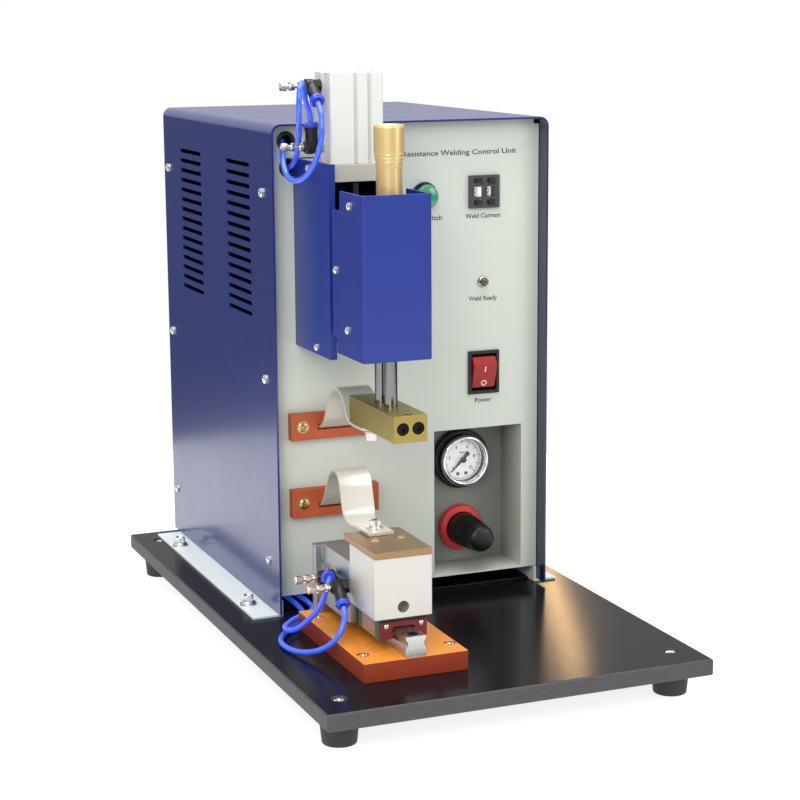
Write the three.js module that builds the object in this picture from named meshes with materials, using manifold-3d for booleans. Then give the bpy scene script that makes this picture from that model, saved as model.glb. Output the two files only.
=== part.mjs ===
// Bench-top pneumatic spot welder, built as separate named sub-parts.
// Millimetres. X points right, Y points back and Z points up, as seen by the person welding.
// The origin lies on the bench, under the middle of the base plate. Heights below are measured from a datum
// a little above the bench, and add() raises every piece by that much.
import * as THREE from "three";
import { mergeVertices } from "three/addons/utils/BufferGeometryUtils.js";
import Module from "manifold-3d";

const manifold = await Module();
manifold.setup();

// ---------------------------------------------------------------- driving dimensions

const GAP = 0.3; // clearance between pieces that touch
const FIT = 0.3; // radial clearance of a running fit
const ROUND = 24; // sides of a round piece

const DATUM = 7.5; // height of the drawing datum above the bench
const FOOT = { x: 122, y: 213, topRadius: 13.2, bottomRadius: 11.6 };
const BASE = { x: 140, y: 240, bottom: 10, top: 22, counterbore: 5.5 };
const SHEET = 1.5;
const CASE = { left: -101, right: 114, front: -36, back: 239.6, top: 379, bend: 7 };
const ANGLE = { thickness: 2, foot: 19.5, rightFoot: 14.5, upright: 12 };
const VENT = { length: 56, height: 3.2, pitch: 7.75, count: 15, top: 349, rows: [43, 164] };
const PANEL = { front: -23, thickness: 2, bottom: 34.5 };
const POCKET = { left: 27, right: 99, bottom: 36, top: 147.5, back: 13 };
const GROMMETS = [
  [-86, 366.5],
  [-84.5, 347.7],
];
const THUMBWHEEL = { left: 55, right: 79, bottom: 313, top: 337, depth: 22 };
const DIGIT = { width: 6.4, height: 7.4, spread: 5.2, radius: 8, wheelWidth: 6, wheelY: -12.5 };
const DIGIT_BUTTON = { width: 5.6, height: 3.4, rise: 7.7 };
const LAMP = { x: 66.8, z: 258, radius: 4 };
const BUTTON = { x: 20, z: 323.4, radius: 9.5 };
const ROCKER = { left: 54.5, right: 79.7, bottom: 173.6, top: 206.3, ridge: 5.4 };
const GAUGE = { x: 63, z: 117, radius: 19.5, flange: 23, rest: 135 };
const REGULATOR = { x: 63, z: 62.5, radius: 15, grip: 13.4, ring: 17.3 };
const STRAP = { left: -66.7, right: -42.6, thickness: 2, upperSlot: 160.5, lowerSlot: 102.5 };
const BUSH_BAR = { left: -88, right: -20.5, front: -30, upper: [151.5, 171], lower: [94, 115] };

const CHANNEL = { left: -81, right: -28, front: -95, bottom: 221, top: 354.7, sheet: 2, lip: 3 };
const HEAD_X = -54.5; // middle of the head, the rods and the upper cylinder
const RAIL = { halfWidth: 7.5, depth: 10 };
const MOUNT_PLATE = { front: -90, bottom: 342, top: 354 };
const UPPER_CYLINDER = { left: -76, right: -37.5, front: -88, back: -56, top: 415.5 };
const PISTON_ROD = { y: -76, radius: 3.5, bottom: 330, top: 388 };
const COVER = { left: -80.5, right: -31, front: -156.3, back: -99.5, bottom: 228, top: 338.5 };
const ROD = { radius: 4.5, frontY: -139.3, rearY: -122 };
const YOKE = { bottom: 268, top: 274 };
const ADJUSTER = { y: -139.3, tube: 8.75, knob: 10.4, bottom: 322, shoulder: 354.6, top: 383 };
const BAR = { left: -66.6, right: -42.6, front: -174, back: -92, bottom: 176.7, top: 195, seam: -168.7 };

const INSULATOR = { top: 35.5, left: -97.2, right: -22, front: -194, middle: -137, back: -65 };
const LOWER_X = -59.5; // middle of the lower slide
const LOWER_RAIL = { halfWidth: 7.3, front: -193, back: -131, top: 49.7 };
const CARRIAGE = { halfWidth: 17.3, front: -170, back: -132, bottom: 42, top: 58 };
const BLOCK = { left: -82, right: -40.5, front: -176, back: -129.5, top: 100 };
const PLATEN = { front: -177, back: -118, top: 104.6 };
const LOWER_CYLINDER = { left: -82, right: -37, front: -129, back: -75, bottom: 43, top: 87 };
const TUBE = { radius: 2, sides: 8 };

// ---------------------------------------------------------------- shape helpers

const BASES = {
  x: new THREE.Matrix4().makeBasis(new THREE.Vector3(0, 1, 0), new THREE.Vector3(0, 0, 1),
    new THREE.Vector3(1, 0, 0)),
  y: new THREE.Matrix4().makeBasis(new THREE.Vector3(0, 0, 1), new THREE.Vector3(1, 0, 0),
    new THREE.Vector3(0, 1, 0)),
  z: new THREE.Matrix4(),
};

// An axis-aligned block between three pairs of limits.
function block([x0, x1], [y0, y1], [z0, z1]) {
  const box = new THREE.BoxGeometry(x1 - x0, y1 - y0, z1 - z0);
  return box.translate((x0 + x1) / 2, (y0 + y1) / 2, (z0 + z1) / 2);
}

// A flat outline pushed along an axis. The outline is drawn in (Y, Z) for x, (Z, X) for y and (X, Y) for z.
function pushed(outline, axis, from, to) {
  const solid = new THREE.ExtrudeGeometry(outline,
    { depth: to - from, bevelEnabled: false, curveSegments: 6 });
  return solid.translate(0, 0, from).applyMatrix4(BASES[axis]);
}

// An outline through straight points.
function polygon(points) {
  return new THREE.Shape(points.map(([u, v]) => new THREE.Vector2(u, v)));
}

// A rectangle with rounded corners.
function roundedRectangle(u0, u1, v0, v1, radius) {
  const shape = new THREE.Shape();
  shape.absarc(u1 - radius, v0 + radius, radius, -Math.PI / 2, 0);
  shape.absarc(u1 - radius, v1 - radius, radius, 0, Math.PI / 2);
  shape.absarc(u0 + radius, v1 - radius, radius, Math.PI / 2, Math.PI);
  shape.absarc(u0 + radius, v0 + radius, radius, Math.PI, Math.PI * 1.5);
  return shape;
}

// A slot with round ends, lying along the outline's first direction.
function longSlot(middle, length, height, radius) {
  const reach = length / 2 - radius;
  const shape = new THREE.Shape();
  shape.absarc(middle + reach, height, radius, -Math.PI / 2, Math.PI / 2);
  shape.absarc(middle - reach, height, radius, Math.PI / 2, Math.PI * 1.5);
  return shape;
}

// A turned piece. Its profile is a list of [radius, place along the axis], from its low end to its high
// end.
function turned(axis, profile, [u, v], sides = ROUND) {
  const points = profile.map(([radius, along]) => new THREE.Vector2(radius, along));
  const solid = new THREE.LatheGeometry(points, sides);
  if (axis === "x") return solid.rotateZ(-Math.PI / 2).translate(0, u, v);
  if (axis === "y") return solid.translate(u, 0, v);
  return solid.rotateX(Math.PI / 2).translate(u, v, 0);
}

// A plain round bar between two places on an axis.
function bar(axis, from, to, radius, centre, sides = ROUND) {
  return turned(axis, [[0, from], [radius, from], [radius, to], [0, to]], centre, sides);
}

// A round bar between two points in any direction.
function strut(from, to, radius, sides = 16) {
  const start = new THREE.Vector3(...from);
  const end = new THREE.Vector3(...to);
  const along = end.clone().sub(start);
  const turn = new THREE.Quaternion().setFromUnitVectors(new THREE.Vector3(0, 1, 0),
    along.clone().normalize());
  const middle = start.add(end).multiplyScalar(0.5);
  return new THREE.CylinderGeometry(radius, radius, along.length(),
    sides).applyQuaternion(turn).translate(...middle);
}

// The same geometry as a manifold-3d solid.
function solidOf(geometry) {
  const bare = geometry.clone();
  bare.deleteAttribute("normal");
  bare.deleteAttribute("uv");
  const merged = mergeVertices(bare, 1e-4);
  const { array } = merged.attributes.position;
  const mesh = new manifold.Mesh({ numProp: 3, vertProperties: array,
    triVerts: new Uint32Array(merged.index.array) });
  return new manifold.Manifold(mesh);
}

// A manifold-3d solid as a three.js geometry.
function geometryOf(solid) {
  const mesh = solid.getMesh();
  const geometry = new THREE.BufferGeometry();
  geometry.setAttribute("position", new THREE.BufferAttribute(new Float32Array(mesh.vertProperties), 3));
  geometry.setIndex(new THREE.BufferAttribute(new Uint32Array(mesh.triVerts), 1));
  geometry.computeVertexNormals();
  return geometry;
}

// The first geometry joined with the others.
function joined(first, ...others) {
  return geometryOf(others.reduce((whole, other) => whole.add(solidOf(other)), solidOf(first)));
}

// The first geometry with the others cut out of it.
function cut(first, ...holes) {
  return geometryOf(holes.reduce((whole, hole) => whole.subtract(solidOf(hole)), solidOf(first)));
}

// A soft tube of the common diameter along a hand-laid route.
function airTube(route) {
  const curve = new THREE.CatmullRomCurve3(route.map((point) => new THREE.Vector3(...point)), false,
    "centripetal");
  const section = new THREE.Shape();
  section.absarc(0, 0, TUBE.radius, 0, Math.PI * 2);
  const steps = Math.ceil(curve.getLength() / (TUBE.radius * 5));
  return new THREE.ExtrudeGeometry(section, { extrudePath: curve, steps, curveSegments: TUBE.sides / 2 });
}

// ---------------------------------------------------------------- finishes

function finish(color, roughness, metalness = 0) {
  return new THREE.MeshStandardMaterial({ color, roughness, metalness });
}

const FINISH = {
  blackPlate: finish(0x17171b, 0.25),
  rubber: finish(0x1c1c1c, 0.85),
  bluePaint: finish(0x2f3f8f, 0.4),
  panelPaint: finish(0xcdd2c8, 0.5),
  innerSteel: finish(0x9a9c9f, 0.5, 0.7),
  aluminium: finish(0xd4d5d8, 0.35, 0.9),
  anodised: finish(0xe8e9ea, 0.4, 0.6),
  steel: finish(0xb5b6b8, 0.3, 1),
  chrome: finish(0xdfe1e4, 0.12, 1),
  brass: finish(0xc3a65a, 0.3, 1),
  copper: finish(0xa07a5c, 0.4, 0.9),
  tinnedCopper: finish(0xc9c8c2, 0.35, 0.9),
  phenolic: finish(0xd98a2b, 0.45),
  terracotta: finish(0xbb5f3b, 0.55),
  blackPlastic: finish(0x151515, 0.4),
  greyPlastic: finish(0x505050, 0.5),
  redPlastic: finish(0xc01a24, 0.3),
  greenPlastic: finish(0x1f8a4c, 0.3),
  whitePlastic: finish(0xeceae2, 0.5),
  blueTube: finish(0x3050eb, 0.3),
  darkSteel: finish(0x2a2a2c, 0.4, 0.6),
  board: finish(0x1f6b3a, 0.6),
};

const welder = new THREE.Group();

// One named piece, raised from the drawing datum to its height above the bench.
function add(name, geometry, material) {
  const mesh = new THREE.Mesh(geometry.translate(0, 0, DATUM), material);
  mesh.name = name;
  welder.add(mesh);
}

// ---------------------------------------------------------------- base and casing

function addBase() {
  const corners = [-1, 1].flatMap((sx) => [-1, 1].map((sy) => [sx * FOOT.x, sy * FOOT.y]));
  const edge = 1;
  const outline = polygon([[-BASE.x + edge, -BASE.y + edge], [BASE.x - edge, -BASE.y + edge],
    [BASE.x - edge, BASE.y - edge], [-BASE.x + edge, BASE.y - edge]]);
  const settings = { depth: BASE.top - BASE.bottom - 2 * edge, bevelThickness: edge, bevelSize: edge,
    bevelSegments: 1 };
  const slab = new THREE.ExtrudeGeometry(outline, settings).translate(0, 0, BASE.bottom + edge);
  const counterbores = corners.map((centre) => bar("z", BASE.top - 3, BASE.top + 1, BASE.counterbore,
    centre, 16));
  add("base_plate", cut(slab, ...counterbores), FINISH.blackPlate);
  for (const [x, y] of corners) {
    const name = `rubber_foot_${y < 0 ? "front" : "rear"}_${x < 0 ? "left" : "right"}`;
    const profile = [[0, -DATUM], [FOOT.bottomRadius, -DATUM], [FOOT.topRadius, BASE.bottom],
      [0, BASE.bottom]];
    add(name, turned("z", profile, [x, y], 20), FINISH.rubber);
  }
}

// The two aluminium angles that hold the casing down: foot outside, upright inside the cover.
function addMountingAngles() {
  const { thickness, foot, rightFoot, upright } = ANGLE;
  const floor = BASE.top;
  const left = CASE.left + SHEET + GAP;
  add("mounting_angle_left", pushed(polygon([[floor, CASE.left - foot], [floor, left + thickness],
    [floor + upright, left + thickness], [floor + upright, left], [floor + thickness, left],
    [floor + thickness, CASE.left - foot]]), "y", -32, 225), FINISH.aluminium);
  const right = CASE.right - SHEET - GAP;
  add("mounting_angle_right", pushed(polygon([[floor, right - thickness], [floor, CASE.right + rightFoot],
    [floor + thickness, CASE.right + rightFoot], [floor + thickness, right], [floor + upright, right],
    [floor + upright, right - thickness]]), "y", -24, 225), FINISH.aluminium);
}

// The wrap-round cover: two side walls and a top in one sheet with rounded bends, and vents in both sides.
function addCover() {
  const bottom = BASE.top + ANGLE.thickness + GAP;
  const wrap = (inset) => {
    const [left, right, top] = [CASE.left + inset, CASE.right - inset, CASE.top - inset];
    const radius = CASE.bend - inset;
    const low = bottom - inset;
    const shape = new THREE.Shape();
    shape.moveTo(low, left);
    shape.lineTo(low, right);
    shape.lineTo(top - radius, right);
    shape.absarc(top - radius, right - radius, radius, Math.PI / 2, 0, true);
    shape.lineTo(top, left + radius);
    shape.absarc(top - radius, left + radius, radius, 0, -Math.PI / 2, true);
    shape.lineTo(low, left);
    return shape;
  };
  const outer = pushed(wrap(0), "y", CASE.front, CASE.back);
  const inner = pushed(wrap(SHEET), "y", CASE.front - 1, CASE.back + 1);
  const vents = [];
  for (const middle of VENT.rows) {
    for (let row = 0; row < VENT.count; row += 1) {
      const top = VENT.top - row * VENT.pitch;
      const slot = longSlot(middle, VENT.length, top - VENT.height / 2, VENT.height / 2);
      const settings = { depth: CASE.right - CASE.left + 10, bevelEnabled: false, curveSegments: 4 };
      vents.push(new THREE.ExtrudeGeometry(slot, settings).translate(0, 0,
        CASE.left - 5).applyMatrix4(BASES.x));
    }
  }
  add("cover", cut(outer, inner, ...vents), FINISH.bluePaint);
}

// The front panel with its recessed pocket for the gauge and the regulator.
function addFrontPanel() {
  const { front, thickness, bottom } = PANEL;
  const [left, right] = [CASE.left + SHEET + GAP, CASE.right - SHEET - GAP];
  const sheet = block([left, right], [front, front + thickness], [bottom, CASE.top - SHEET - GAP]);
  const corners = [CASE.left, CASE.right].map((x) => block([x - 6, x + 6], [front - 1, front + 3],
    [CASE.top - SHEET - 4, CASE.top + 4]));
  const shell = block([POCKET.left - SHEET, POCKET.right + SHEET],
    [front + thickness / 2, POCKET.back + SHEET], [bottom, POCKET.top + SHEET]);
  const hollow = block([POCKET.left, POCKET.right], [front - 1, POCKET.back], [POCKET.bottom, POCKET.top]);
  const through = (x0, x1, z0, z1) => block([x0, x1], [front - 1, front + 4], [z0, z1]);
  const slotHalf = STRAP.thickness / 2 + 0.8;
  const holes = [
    bar("y", 0, 20, 5.5, [GAUGE.x, GAUGE.z], 16),
    bar("y", 0, 20, 10.5, [REGULATOR.x, REGULATOR.z], 16),
    ...GROMMETS.map((centre) => bar("y", front - 1, front + 4, 6, centre, 16)),
    through(STRAP.left - 0.8, STRAP.right + 0.8, STRAP.upperSlot - slotHalf, STRAP.upperSlot + slotHalf),
    through(STRAP.left - 0.8, STRAP.right + 0.8, STRAP.lowerSlot - slotHalf, STRAP.lowerSlot + slotHalf),
    through(THUMBWHEEL.left + 0.7, THUMBWHEEL.right - 0.7, THUMBWHEEL.bottom + 0.7, THUMBWHEEL.top - 0.7),
    through(ROCKER.left + 0.9, ROCKER.right - 0.9, ROCKER.bottom + 0.9, ROCKER.top - 0.9),
    bar("y", front - 1, front + 4, 3.3, [LAMP.x, LAMP.z], 16),
    bar("y", front - 1, front + 4, 8.3, [BUTTON.x, BUTTON.z], 20),
  ];
  add("front_panel", cut(joined(cut(sheet, ...corners), shell), hollow, ...holes), FINISH.panelPaint);
}

// The inner tray: a floor and a rear wall in one folded sheet, with the cut-outs for power and air.
function addChassis() {
  const [left, right] = [-96.5, 109.5];
  const side = [[-15, BASE.top], [227, BASE.top], [227, 370], [225, 370], [225, BASE.top + 2],
    [-15, BASE.top + 2]];
  const powerHole = block([60, 88], [220, 230], [60, 82]);
  const airHole = bar("y", 220, 230, 6, [-60, 70], 16);
  const pedalHole = bar("y", 220, 230, 8, [20, 70], 16);
  add("chassis", cut(pushed(polygon(side), "x", left, right), powerHole, airHole, pedalHole),
    FINISH.innerSteel);
}

// ---------------------------------------------------------------- controls on the panel

// A two-digit thumbwheel switch: a housing, two ten-sided digit wheels and a button above and below each.
function addThumbwheel() {
  const { left, right, bottom, top, depth } = THUMBWHEEL;
  const face = PANEL.front;
  const middle = [(left + right) / 2, (bottom + top) / 2];
  const bezel = block([left, right], [face - 3, face], [bottom, top]);
  const body = block([left + 1, right - 1], [face - 1, face + depth], [bottom + 1, top - 1]);
  const cavity = block([left + 2.2, right - 2.2], [face - 1, face + depth - 2], [bottom + 2.2, top - 2.2]);
  const back = block([left + 4, right - 4], [face + depth - 3, face + depth + 1], [bottom + 4, top - 4]);
  const columns = { tens: middle[0] - DIGIT.spread, units: middle[0] + DIGIT.spread };
  const openings = [];
  for (const x of Object.values(columns)) {
    const [halfWidth, halfHeight] = [DIGIT.width / 2, DIGIT.height / 2];
    openings.push(block([x - halfWidth, x + halfWidth], [face - 4, face],
      [middle[1] - halfHeight, middle[1] + halfHeight]));
    for (const side of [-1, 1]) {
      const z = middle[1] + side * DIGIT_BUTTON.rise;
      openings.push(block([x - DIGIT_BUTTON.width / 2 - FIT, x + DIGIT_BUTTON.width / 2 + FIT],
        [face - 4, face], [z - DIGIT_BUTTON.height / 2 - FIT, z + DIGIT_BUTTON.height / 2 + FIT]));
    }
  }
  add("thumbwheel_housing", cut(joined(bezel, body), cavity, back, ...openings), FINISH.blackPlastic);
  for (const [column, x] of Object.entries(columns)) {
    const [from, to] = [x - DIGIT.wheelWidth / 2 + 0.6, x + DIGIT.wheelWidth / 2 - 0.6];
    const rim = bar("x", from, to, DIGIT.radius, [DIGIT.wheelY, middle[1]], 10);
    const hub = bar("x", from - 0.4, to + 0.4, 2.5, [DIGIT.wheelY, middle[1]], 10);
    add(`digit_wheel_${column}`, joined(rim, hub), FINISH.whitePlastic);
    for (const [word, side] of [["up", 1], ["down", -1]]) {
      const z = middle[1] + side * DIGIT_BUTTON.rise;
      const [halfWidth, halfHeight] = [DIGIT_BUTTON.width / 2, DIGIT_BUTTON.height / 2];
      add(`${column}_${word}_button`, block([x - halfWidth, x + halfWidth], [face - 4.4, face - 0.4],
        [z - halfHeight, z + halfHeight]), FINISH.greyPlastic);
    }
  }
}

function addIndicator() {
  const face = PANEL.front;
  const profile = [[0, face - 2.6], [1.6, face - 2.2], [2.6, face - 1], [LAMP.radius, face - 1],
    [LAMP.radius, face], [3, face], [3, face + 12], [0, face + 12]];
  add("indicator_lamp", turned("y", profile, [LAMP.x, LAMP.z], 20), FINISH.chrome);
}

// The green push button: a collar clamped to the panel and a sprung cap that slides in it.
function addPushButton() {
  const face = PANEL.front;
  const { radius } = BUTTON;
  const ring = [[radius - 1.8, face + 16], [8, face + 16], [8, face], [radius + 1, face],
    [radius + 1, face - 3], [radius - 1.8, face - 3], [radius - 1.8, face + 16]].reverse();
  add("button_collar", turned("y", ring, [BUTTON.x, BUTTON.z]), FINISH.blackPlastic);
  const capRadius = radius - 1.8 - FIT;
  const cap = [[0, face - 7.6], [3.2, face - 7.2], [5.8, face - 6], [capRadius, face - 4],
    [capRadius, face + 8], [0, face + 8]];
  add("button_cap", turned("y", cap, [BUTTON.x, BUTTON.z]), FINISH.greenPlastic);
}

// The mains rocker switch: a frame and a paddle that tilts on a pin along X.
function addRocker() {
  const face = PANEL.front;
  const { left, right, bottom, top } = ROCKER;
  const wall = 2.6;
  const frame = block([left, right], [face - 2, face], [bottom, top]);
  const body = block([left + 1.2, right - 1.2], [face - 1, face + 22], [bottom + 1.2, top - 1.2]);
  const well = block([left + wall, right - wall], [face - 3, face + 14], [bottom + wall, top - wall]);
  add("rocker_bezel", cut(joined(frame, body), well), FINISH.blackPlastic);
  const middle = (bottom + top) / 2;
  const reach = (top - bottom) / 2 - wall - 1.9;
  const side = [[face - 0.4, -reach], [face - ROCKER.ridge, reach * 0.52], [face - 1.2, reach],
    [face + 3, reach], [face + 6, 0], [face + 3, -reach]];
  const paddle = pushed(polygon(side.map(([y, z]) => [y, z + middle]).reverse()), "x",
    left + wall + FIT + 0.2, right - wall - FIT - 0.2);
  add("rocker_paddle", paddle, FINISH.redPlastic);
}

// ---------------------------------------------------------------- gauge and regulator

function addGauge() {
  const back = POCKET.back - GAP;
  const { radius, flange } = GAUGE;
  const shell = [[0, back + 18], [4.8, back + 18], [4.8, back], [flange, back], [flange, back - 5.5],
    [radius, back - 5.5], [radius, -0.5], [radius - 1, -1.5], [radius - 3, -1.5], [radius - 3, 8],
      [0, 8]].reverse();
  add("gauge_case", turned("y", shell, [GAUGE.x, GAUGE.z], 32), FINISH.blackPlastic);
  const hub = bar("y", 4.4, 7.7, 2, [0, 0], 12);
  const hand = pushed(polygon([[-6, -1.1], [-6, 1.1], [13, 0.35],
    [13, -0.35]].reverse().map(([u, v]) => [v, u])), "y", 5.2, 6);
  const needle = joined(hub, hand).rotateY(THREE.MathUtils.degToRad(GAUGE.rest));
  add("gauge_needle", needle.translate(GAUGE.x, 0, GAUGE.z), FINISH.darkSteel);
}

// The pressure regulator: body behind the pocket, clamped through its wall by a ring, and a turning knob.
function addRegulator() {
  const { radius, ring, x, z } = REGULATOR;
  const back = POCKET.back;
  const stem = [[0, 62], [radius + 1, 62], [radius + 1, back + SHEET + GAP], [10.2, back + SHEET + GAP],
    [10.2, back - GAP], [ring, back - GAP], [ring, back - 5.5], [9, back - 5.5], [9, -6],
      [0, -6]].reverse();
  const ports = bar("x", x - 26, x + 26, 7, [38, z], 12);
  add("regulator_body", joined(turned("y", stem, [x, z]), ports), FINISH.blackPlastic);
  const grip = [[9 + FIT, 7], [REGULATOR.grip, 7], [REGULATOR.grip, -4], [12, -24], [11.4, -26],
    [11.2, -31], [8, -32.6], [0, -33.2], [0, -6.6], [9 + FIT, -6.6], [9 + FIT, 7]].reverse();
  add("regulator_knob", turned("y", grip, [x, z], 30), FINISH.blackPlastic);
}

// ---------------------------------------------------------------- welding circuit

// A flat laminated strap: a ribbon of constant thickness along a route drawn in (Y, Z).
function strap(route, shift = () => 0) {
  const curve = new THREE.CatmullRomCurve3(route.map(([y, z]) => new THREE.Vector3(0, y, z)), false,
    "centripetal");
  const points = curve.getSpacedPoints(44);
  const half = STRAP.thickness / 2;
  const sides = [half, -half].map((offset) => points.map((point, index) => {
    const tangent = curve.getTangentAt(index / (points.length - 1));
    return new THREE.Vector2(point.y - tangent.z * offset, point.z + tangent.y * offset);
  }));
  const outline = new THREE.Shape([...sides[0], ...sides[1].reverse()]);
  const ribbon = pushed(outline, "x", STRAP.left, STRAP.right);
  const place = ribbon.attributes.position;
  for (let index = 0; index < place.count; index += 1) {
    place.setX(index, place.getX(index) + shift(place.getY(index)));
  }
  return ribbon;
}

function addStraps() {
  const bushBar = ([z0, z1], slot) => cut(
    block([BUSH_BAR.left, BUSH_BAR.right], [BUSH_BAR.front, PANEL.front - GAP / 3], [z0, z1]),
    block([STRAP.left - 0.8, STRAP.right + 0.8], [BUSH_BAR.front - 1, PANEL.front + 1],
      [slot - 1.8, slot + 1.8]),
  );
  add("upper_strap_insulator", bushBar(BUSH_BAR.upper, STRAP.upperSlot), FINISH.terracotta);
  add("lower_strap_insulator", bushBar(BUSH_BAR.lower, STRAP.lowerSlot), FINISH.terracotta);
  const upper = [[30, 160.5], [0, 160.5], [-20, 160.5], [-32, 161.2], [-40, 167], [-46, 177], [-53, 187.5],
    [-62, 194.2], [-72, 194], [-80, 188.5], [-84.5, 181.5], [-89.5, 176.2], [-97, 175.2], [-116, 175.2]];
  add("upper_strap", strap(upper), FINISH.tinnedCopper);
  const lower = [[30, 102.5], [0, 102.5], [-20, 102.5], [-32, 103.5], [-38.5, 110], [-43.5, 120],
    [-50, 129.5], [-58, 134.2], [-67, 133], [-76, 126.5], [-82.5, 117.5], [-89, 109.5], [-98, 106],
    [-110, 105.9], [-136, 105.9]];
  const sideways = (y) => -5.5 * THREE.MathUtils.smoothstep(-y, 60, 100);
  add("lower_strap", strap(lower, sideways), FINISH.tinnedCopper);
}

// The welding transformer: a core with two windows, and a coil round its middle leg with two terminals.
function addTransformer() {
  const middle = -22;
  const [front, back, bottom, top] = [60, 120, BASE.top + 2 + GAP, 144];
  const windows = [-25, 25].map((offset) => block([middle + offset - 10, middle + offset + 10],
    [front - 1, back + 1], [bottom + 20, top - 20]));
  add("transformer_core", cut(block([middle - 50, middle + 50], [front, back], [bottom, top]), ...windows),
    FINISH.darkSteel);
  const ring = block([middle - 34.5, middle + 34.5], [front - 15, back + 15], [bottom + 20.5, top - 20.5]);
  const leg = block([middle - 15.5, middle + 15.5], [front - 0.5, back + 0.5], [bottom, top]);
  const riser = block([-66, -43], [40, 46], [96.5, STRAP.upperSlot - 1.3]);
  const terminal = (slot) => block([-66, -43], [13.5, 44], [slot - 6, slot - 1.3]);
  add("transformer_coil", joined(cut(ring, leg), riser, terminal(STRAP.upperSlot),
    terminal(STRAP.lowerSlot)), FINISH.copper);
}

// The air valves and the timing board, on the floor of the chassis.
function addInnards() {
  const floor = BASE.top + 2 + GAP;
  const manifoldBlock = block([-95, -76], [20, 90], [floor, 55]);
  const coils = [38, 72].map((y) => block([-93, -78], [y - 9, y + 9], [54, 82]));
  add("valve_block", joined(manifoldBlock, ...coils), FINISH.blackPlastic);
  const board = block([36, 104], [82, 200], [34, 35.6]);
  const posts = [[40, 86], [100, 86], [40, 196],
    [100, 196]].map((centre) => bar("z", floor, 34.5, 3, centre, 10));
  const capacitors = [[55, 110], [80, 110], [55, 140]].map((centre) => bar("z", 35, 70, 10, centre, 16));
  const heatSink = block([46, 96], [165, 190], [35, 60]);
  add("control_board", joined(board, ...posts, ...capacitors, heatSink), FINISH.board);
}

// ---------------------------------------------------------------- welding head

// The fixed U-shaped channel with inward lips, and the guide rail on its back wall.
function addHeadChannel() {
  const { left, right, front, bottom, top, sheet, lip } = CHANNEL;
  const back = PANEL.front - GAP;
  const outline = polygon([[left, back], [left, front], [left + sheet + lip, front],
    [left + sheet + lip, front + sheet], [left + sheet, front + sheet], [left + sheet, back - sheet],
    [right - sheet, back - sheet], [right - sheet, front + sheet], [right - sheet - lip, front + sheet],
    [right - sheet - lip, front], [right, front], [right, back]]);
  const rail = block([HEAD_X - RAIL.halfWidth, HEAD_X + RAIL.halfWidth],
    [back - sheet - RAIL.depth, back - sheet + 0.5], [bottom + 2, 338]);
  add("head_channel", joined(pushed(outline, "z", bottom, top), rail), FINISH.bluePaint);
}

function addUpperCylinder() {
  const { left, right, front, back, top } = UPPER_CYLINDER;
  const inner = [CHANNEL.left + CHANNEL.sheet + GAP, CHANNEL.right - CHANNEL.sheet - GAP];
  const bore = bar("z", MOUNT_PLATE.bottom - 1, 392, PISTON_ROD.radius + FIT, [HEAD_X, PISTON_ROD.y], 20);
  const plate = block(inner, [MOUNT_PLATE.front, PANEL.front - CHANNEL.sheet - 2 * GAP],
    [MOUNT_PLATE.bottom, MOUNT_PLATE.top]);
  add("cylinder_mount_plate", cut(plate, bore), FINISH.aluminium);
  const width = right - left;
  const grooves = [0.476, 0.735].map((share) => block([left + width * share - 1.2,
    left + width * share + 1.2], [front - 1, front + 2.2], [MOUNT_PLATE.top, top + 1]));
  const sideGrooves = [left, right].map((x) => block([x - 2.5, x + 2.5], [front + 12, front + 18.5],
    [MOUNT_PLATE.top, top + 1]));
  const edge = 1.5;
  const outline = roundedRectangle(left, right, front, back, edge);
  const body = pushed(outline, "z", MOUNT_PLATE.top + GAP / 3, top);
  add("upper_cylinder", cut(body, bore, ...grooves, ...sideGrooves), FINISH.anodised);
  add("cylinder_rod", bar("z", PISTON_ROD.bottom + GAP / 3, PISTON_ROD.top, PISTON_ROD.radius,
    [HEAD_X, PISTON_ROD.y], 20), FINISH.chrome);
}

// The carriage that runs on the rail and reaches out of the channel to carry the rods, the spring and the
// cover.
function addHeadCarriage() {
  const [left, right] = [COVER.left + SHEET + GAP, COVER.right - SHEET - GAP];
  const front = COVER.front + SHEET + GAP;
  const runner = block([HEAD_X - 17, HEAD_X + 17], [-100, -27.5], [245, 330]);
  const railGroove = block([HEAD_X - RAIL.halfWidth - FIT, HEAD_X + RAIL.halfWidth + FIT],
    [-26 - RAIL.depth - FIT, -27], [244, 331]);
  const nose = block([left, right], [front, -99.8], [240, 330]);
  const window = block([HEAD_X - 15, HEAD_X + 15], [front - 1, -110], [266, 316]);
  const bushes = [ROD.frontY, ROD.rearY].map((y) => bar("z", 239, 267, ROD.radius + FIT, [HEAD_X, y], 20));
  const socket = bar("z", 315, 331, ADJUSTER.tube + FIT, [HEAD_X, ADJUSTER.y]);
  const relief = block([left - 1, right + 1], [-113, -99], [318, 331]);
  add("head_carriage", cut(joined(runner, nose), railGroove, window, ...bushes, socket, relief),
    FINISH.darkSteel);
}

// The moving blue cover: a folded U with notched rear corners, open at its top and bottom.
function addHeadCover() {
  const { left, right, front, back, bottom, top } = COVER;
  const outline = new THREE.Shape();
  const bend = 2.2;
  outline.moveTo(left, back);
  outline.lineTo(left, front + bend);
  outline.absarc(left + bend, front + bend, bend, Math.PI, Math.PI * 1.5);
  outline.lineTo(right - bend, front);
  outline.absarc(right - bend, front + bend, bend, -Math.PI / 2, 0);
  outline.lineTo(right, back);
  outline.lineTo(right - SHEET, back);
  outline.lineTo(right - SHEET, front + SHEET);
  outline.lineTo(left + SHEET, front + SHEET);
  outline.lineTo(left + SHEET, back);
  const topNotch = pushed(roundedRectangle(-114.5, -80, 325.4, 360, 3), "x", left - 1, right + 1);
  const bottomNotch = pushed(roundedRectangle(-107, -80, 200, 239, 3), "x", left - 1, right + 1);
  add("head_cover", cut(pushed(outline, "z", bottom, top), topNotch, bottomNotch), FINISH.bluePaint);
}

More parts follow.
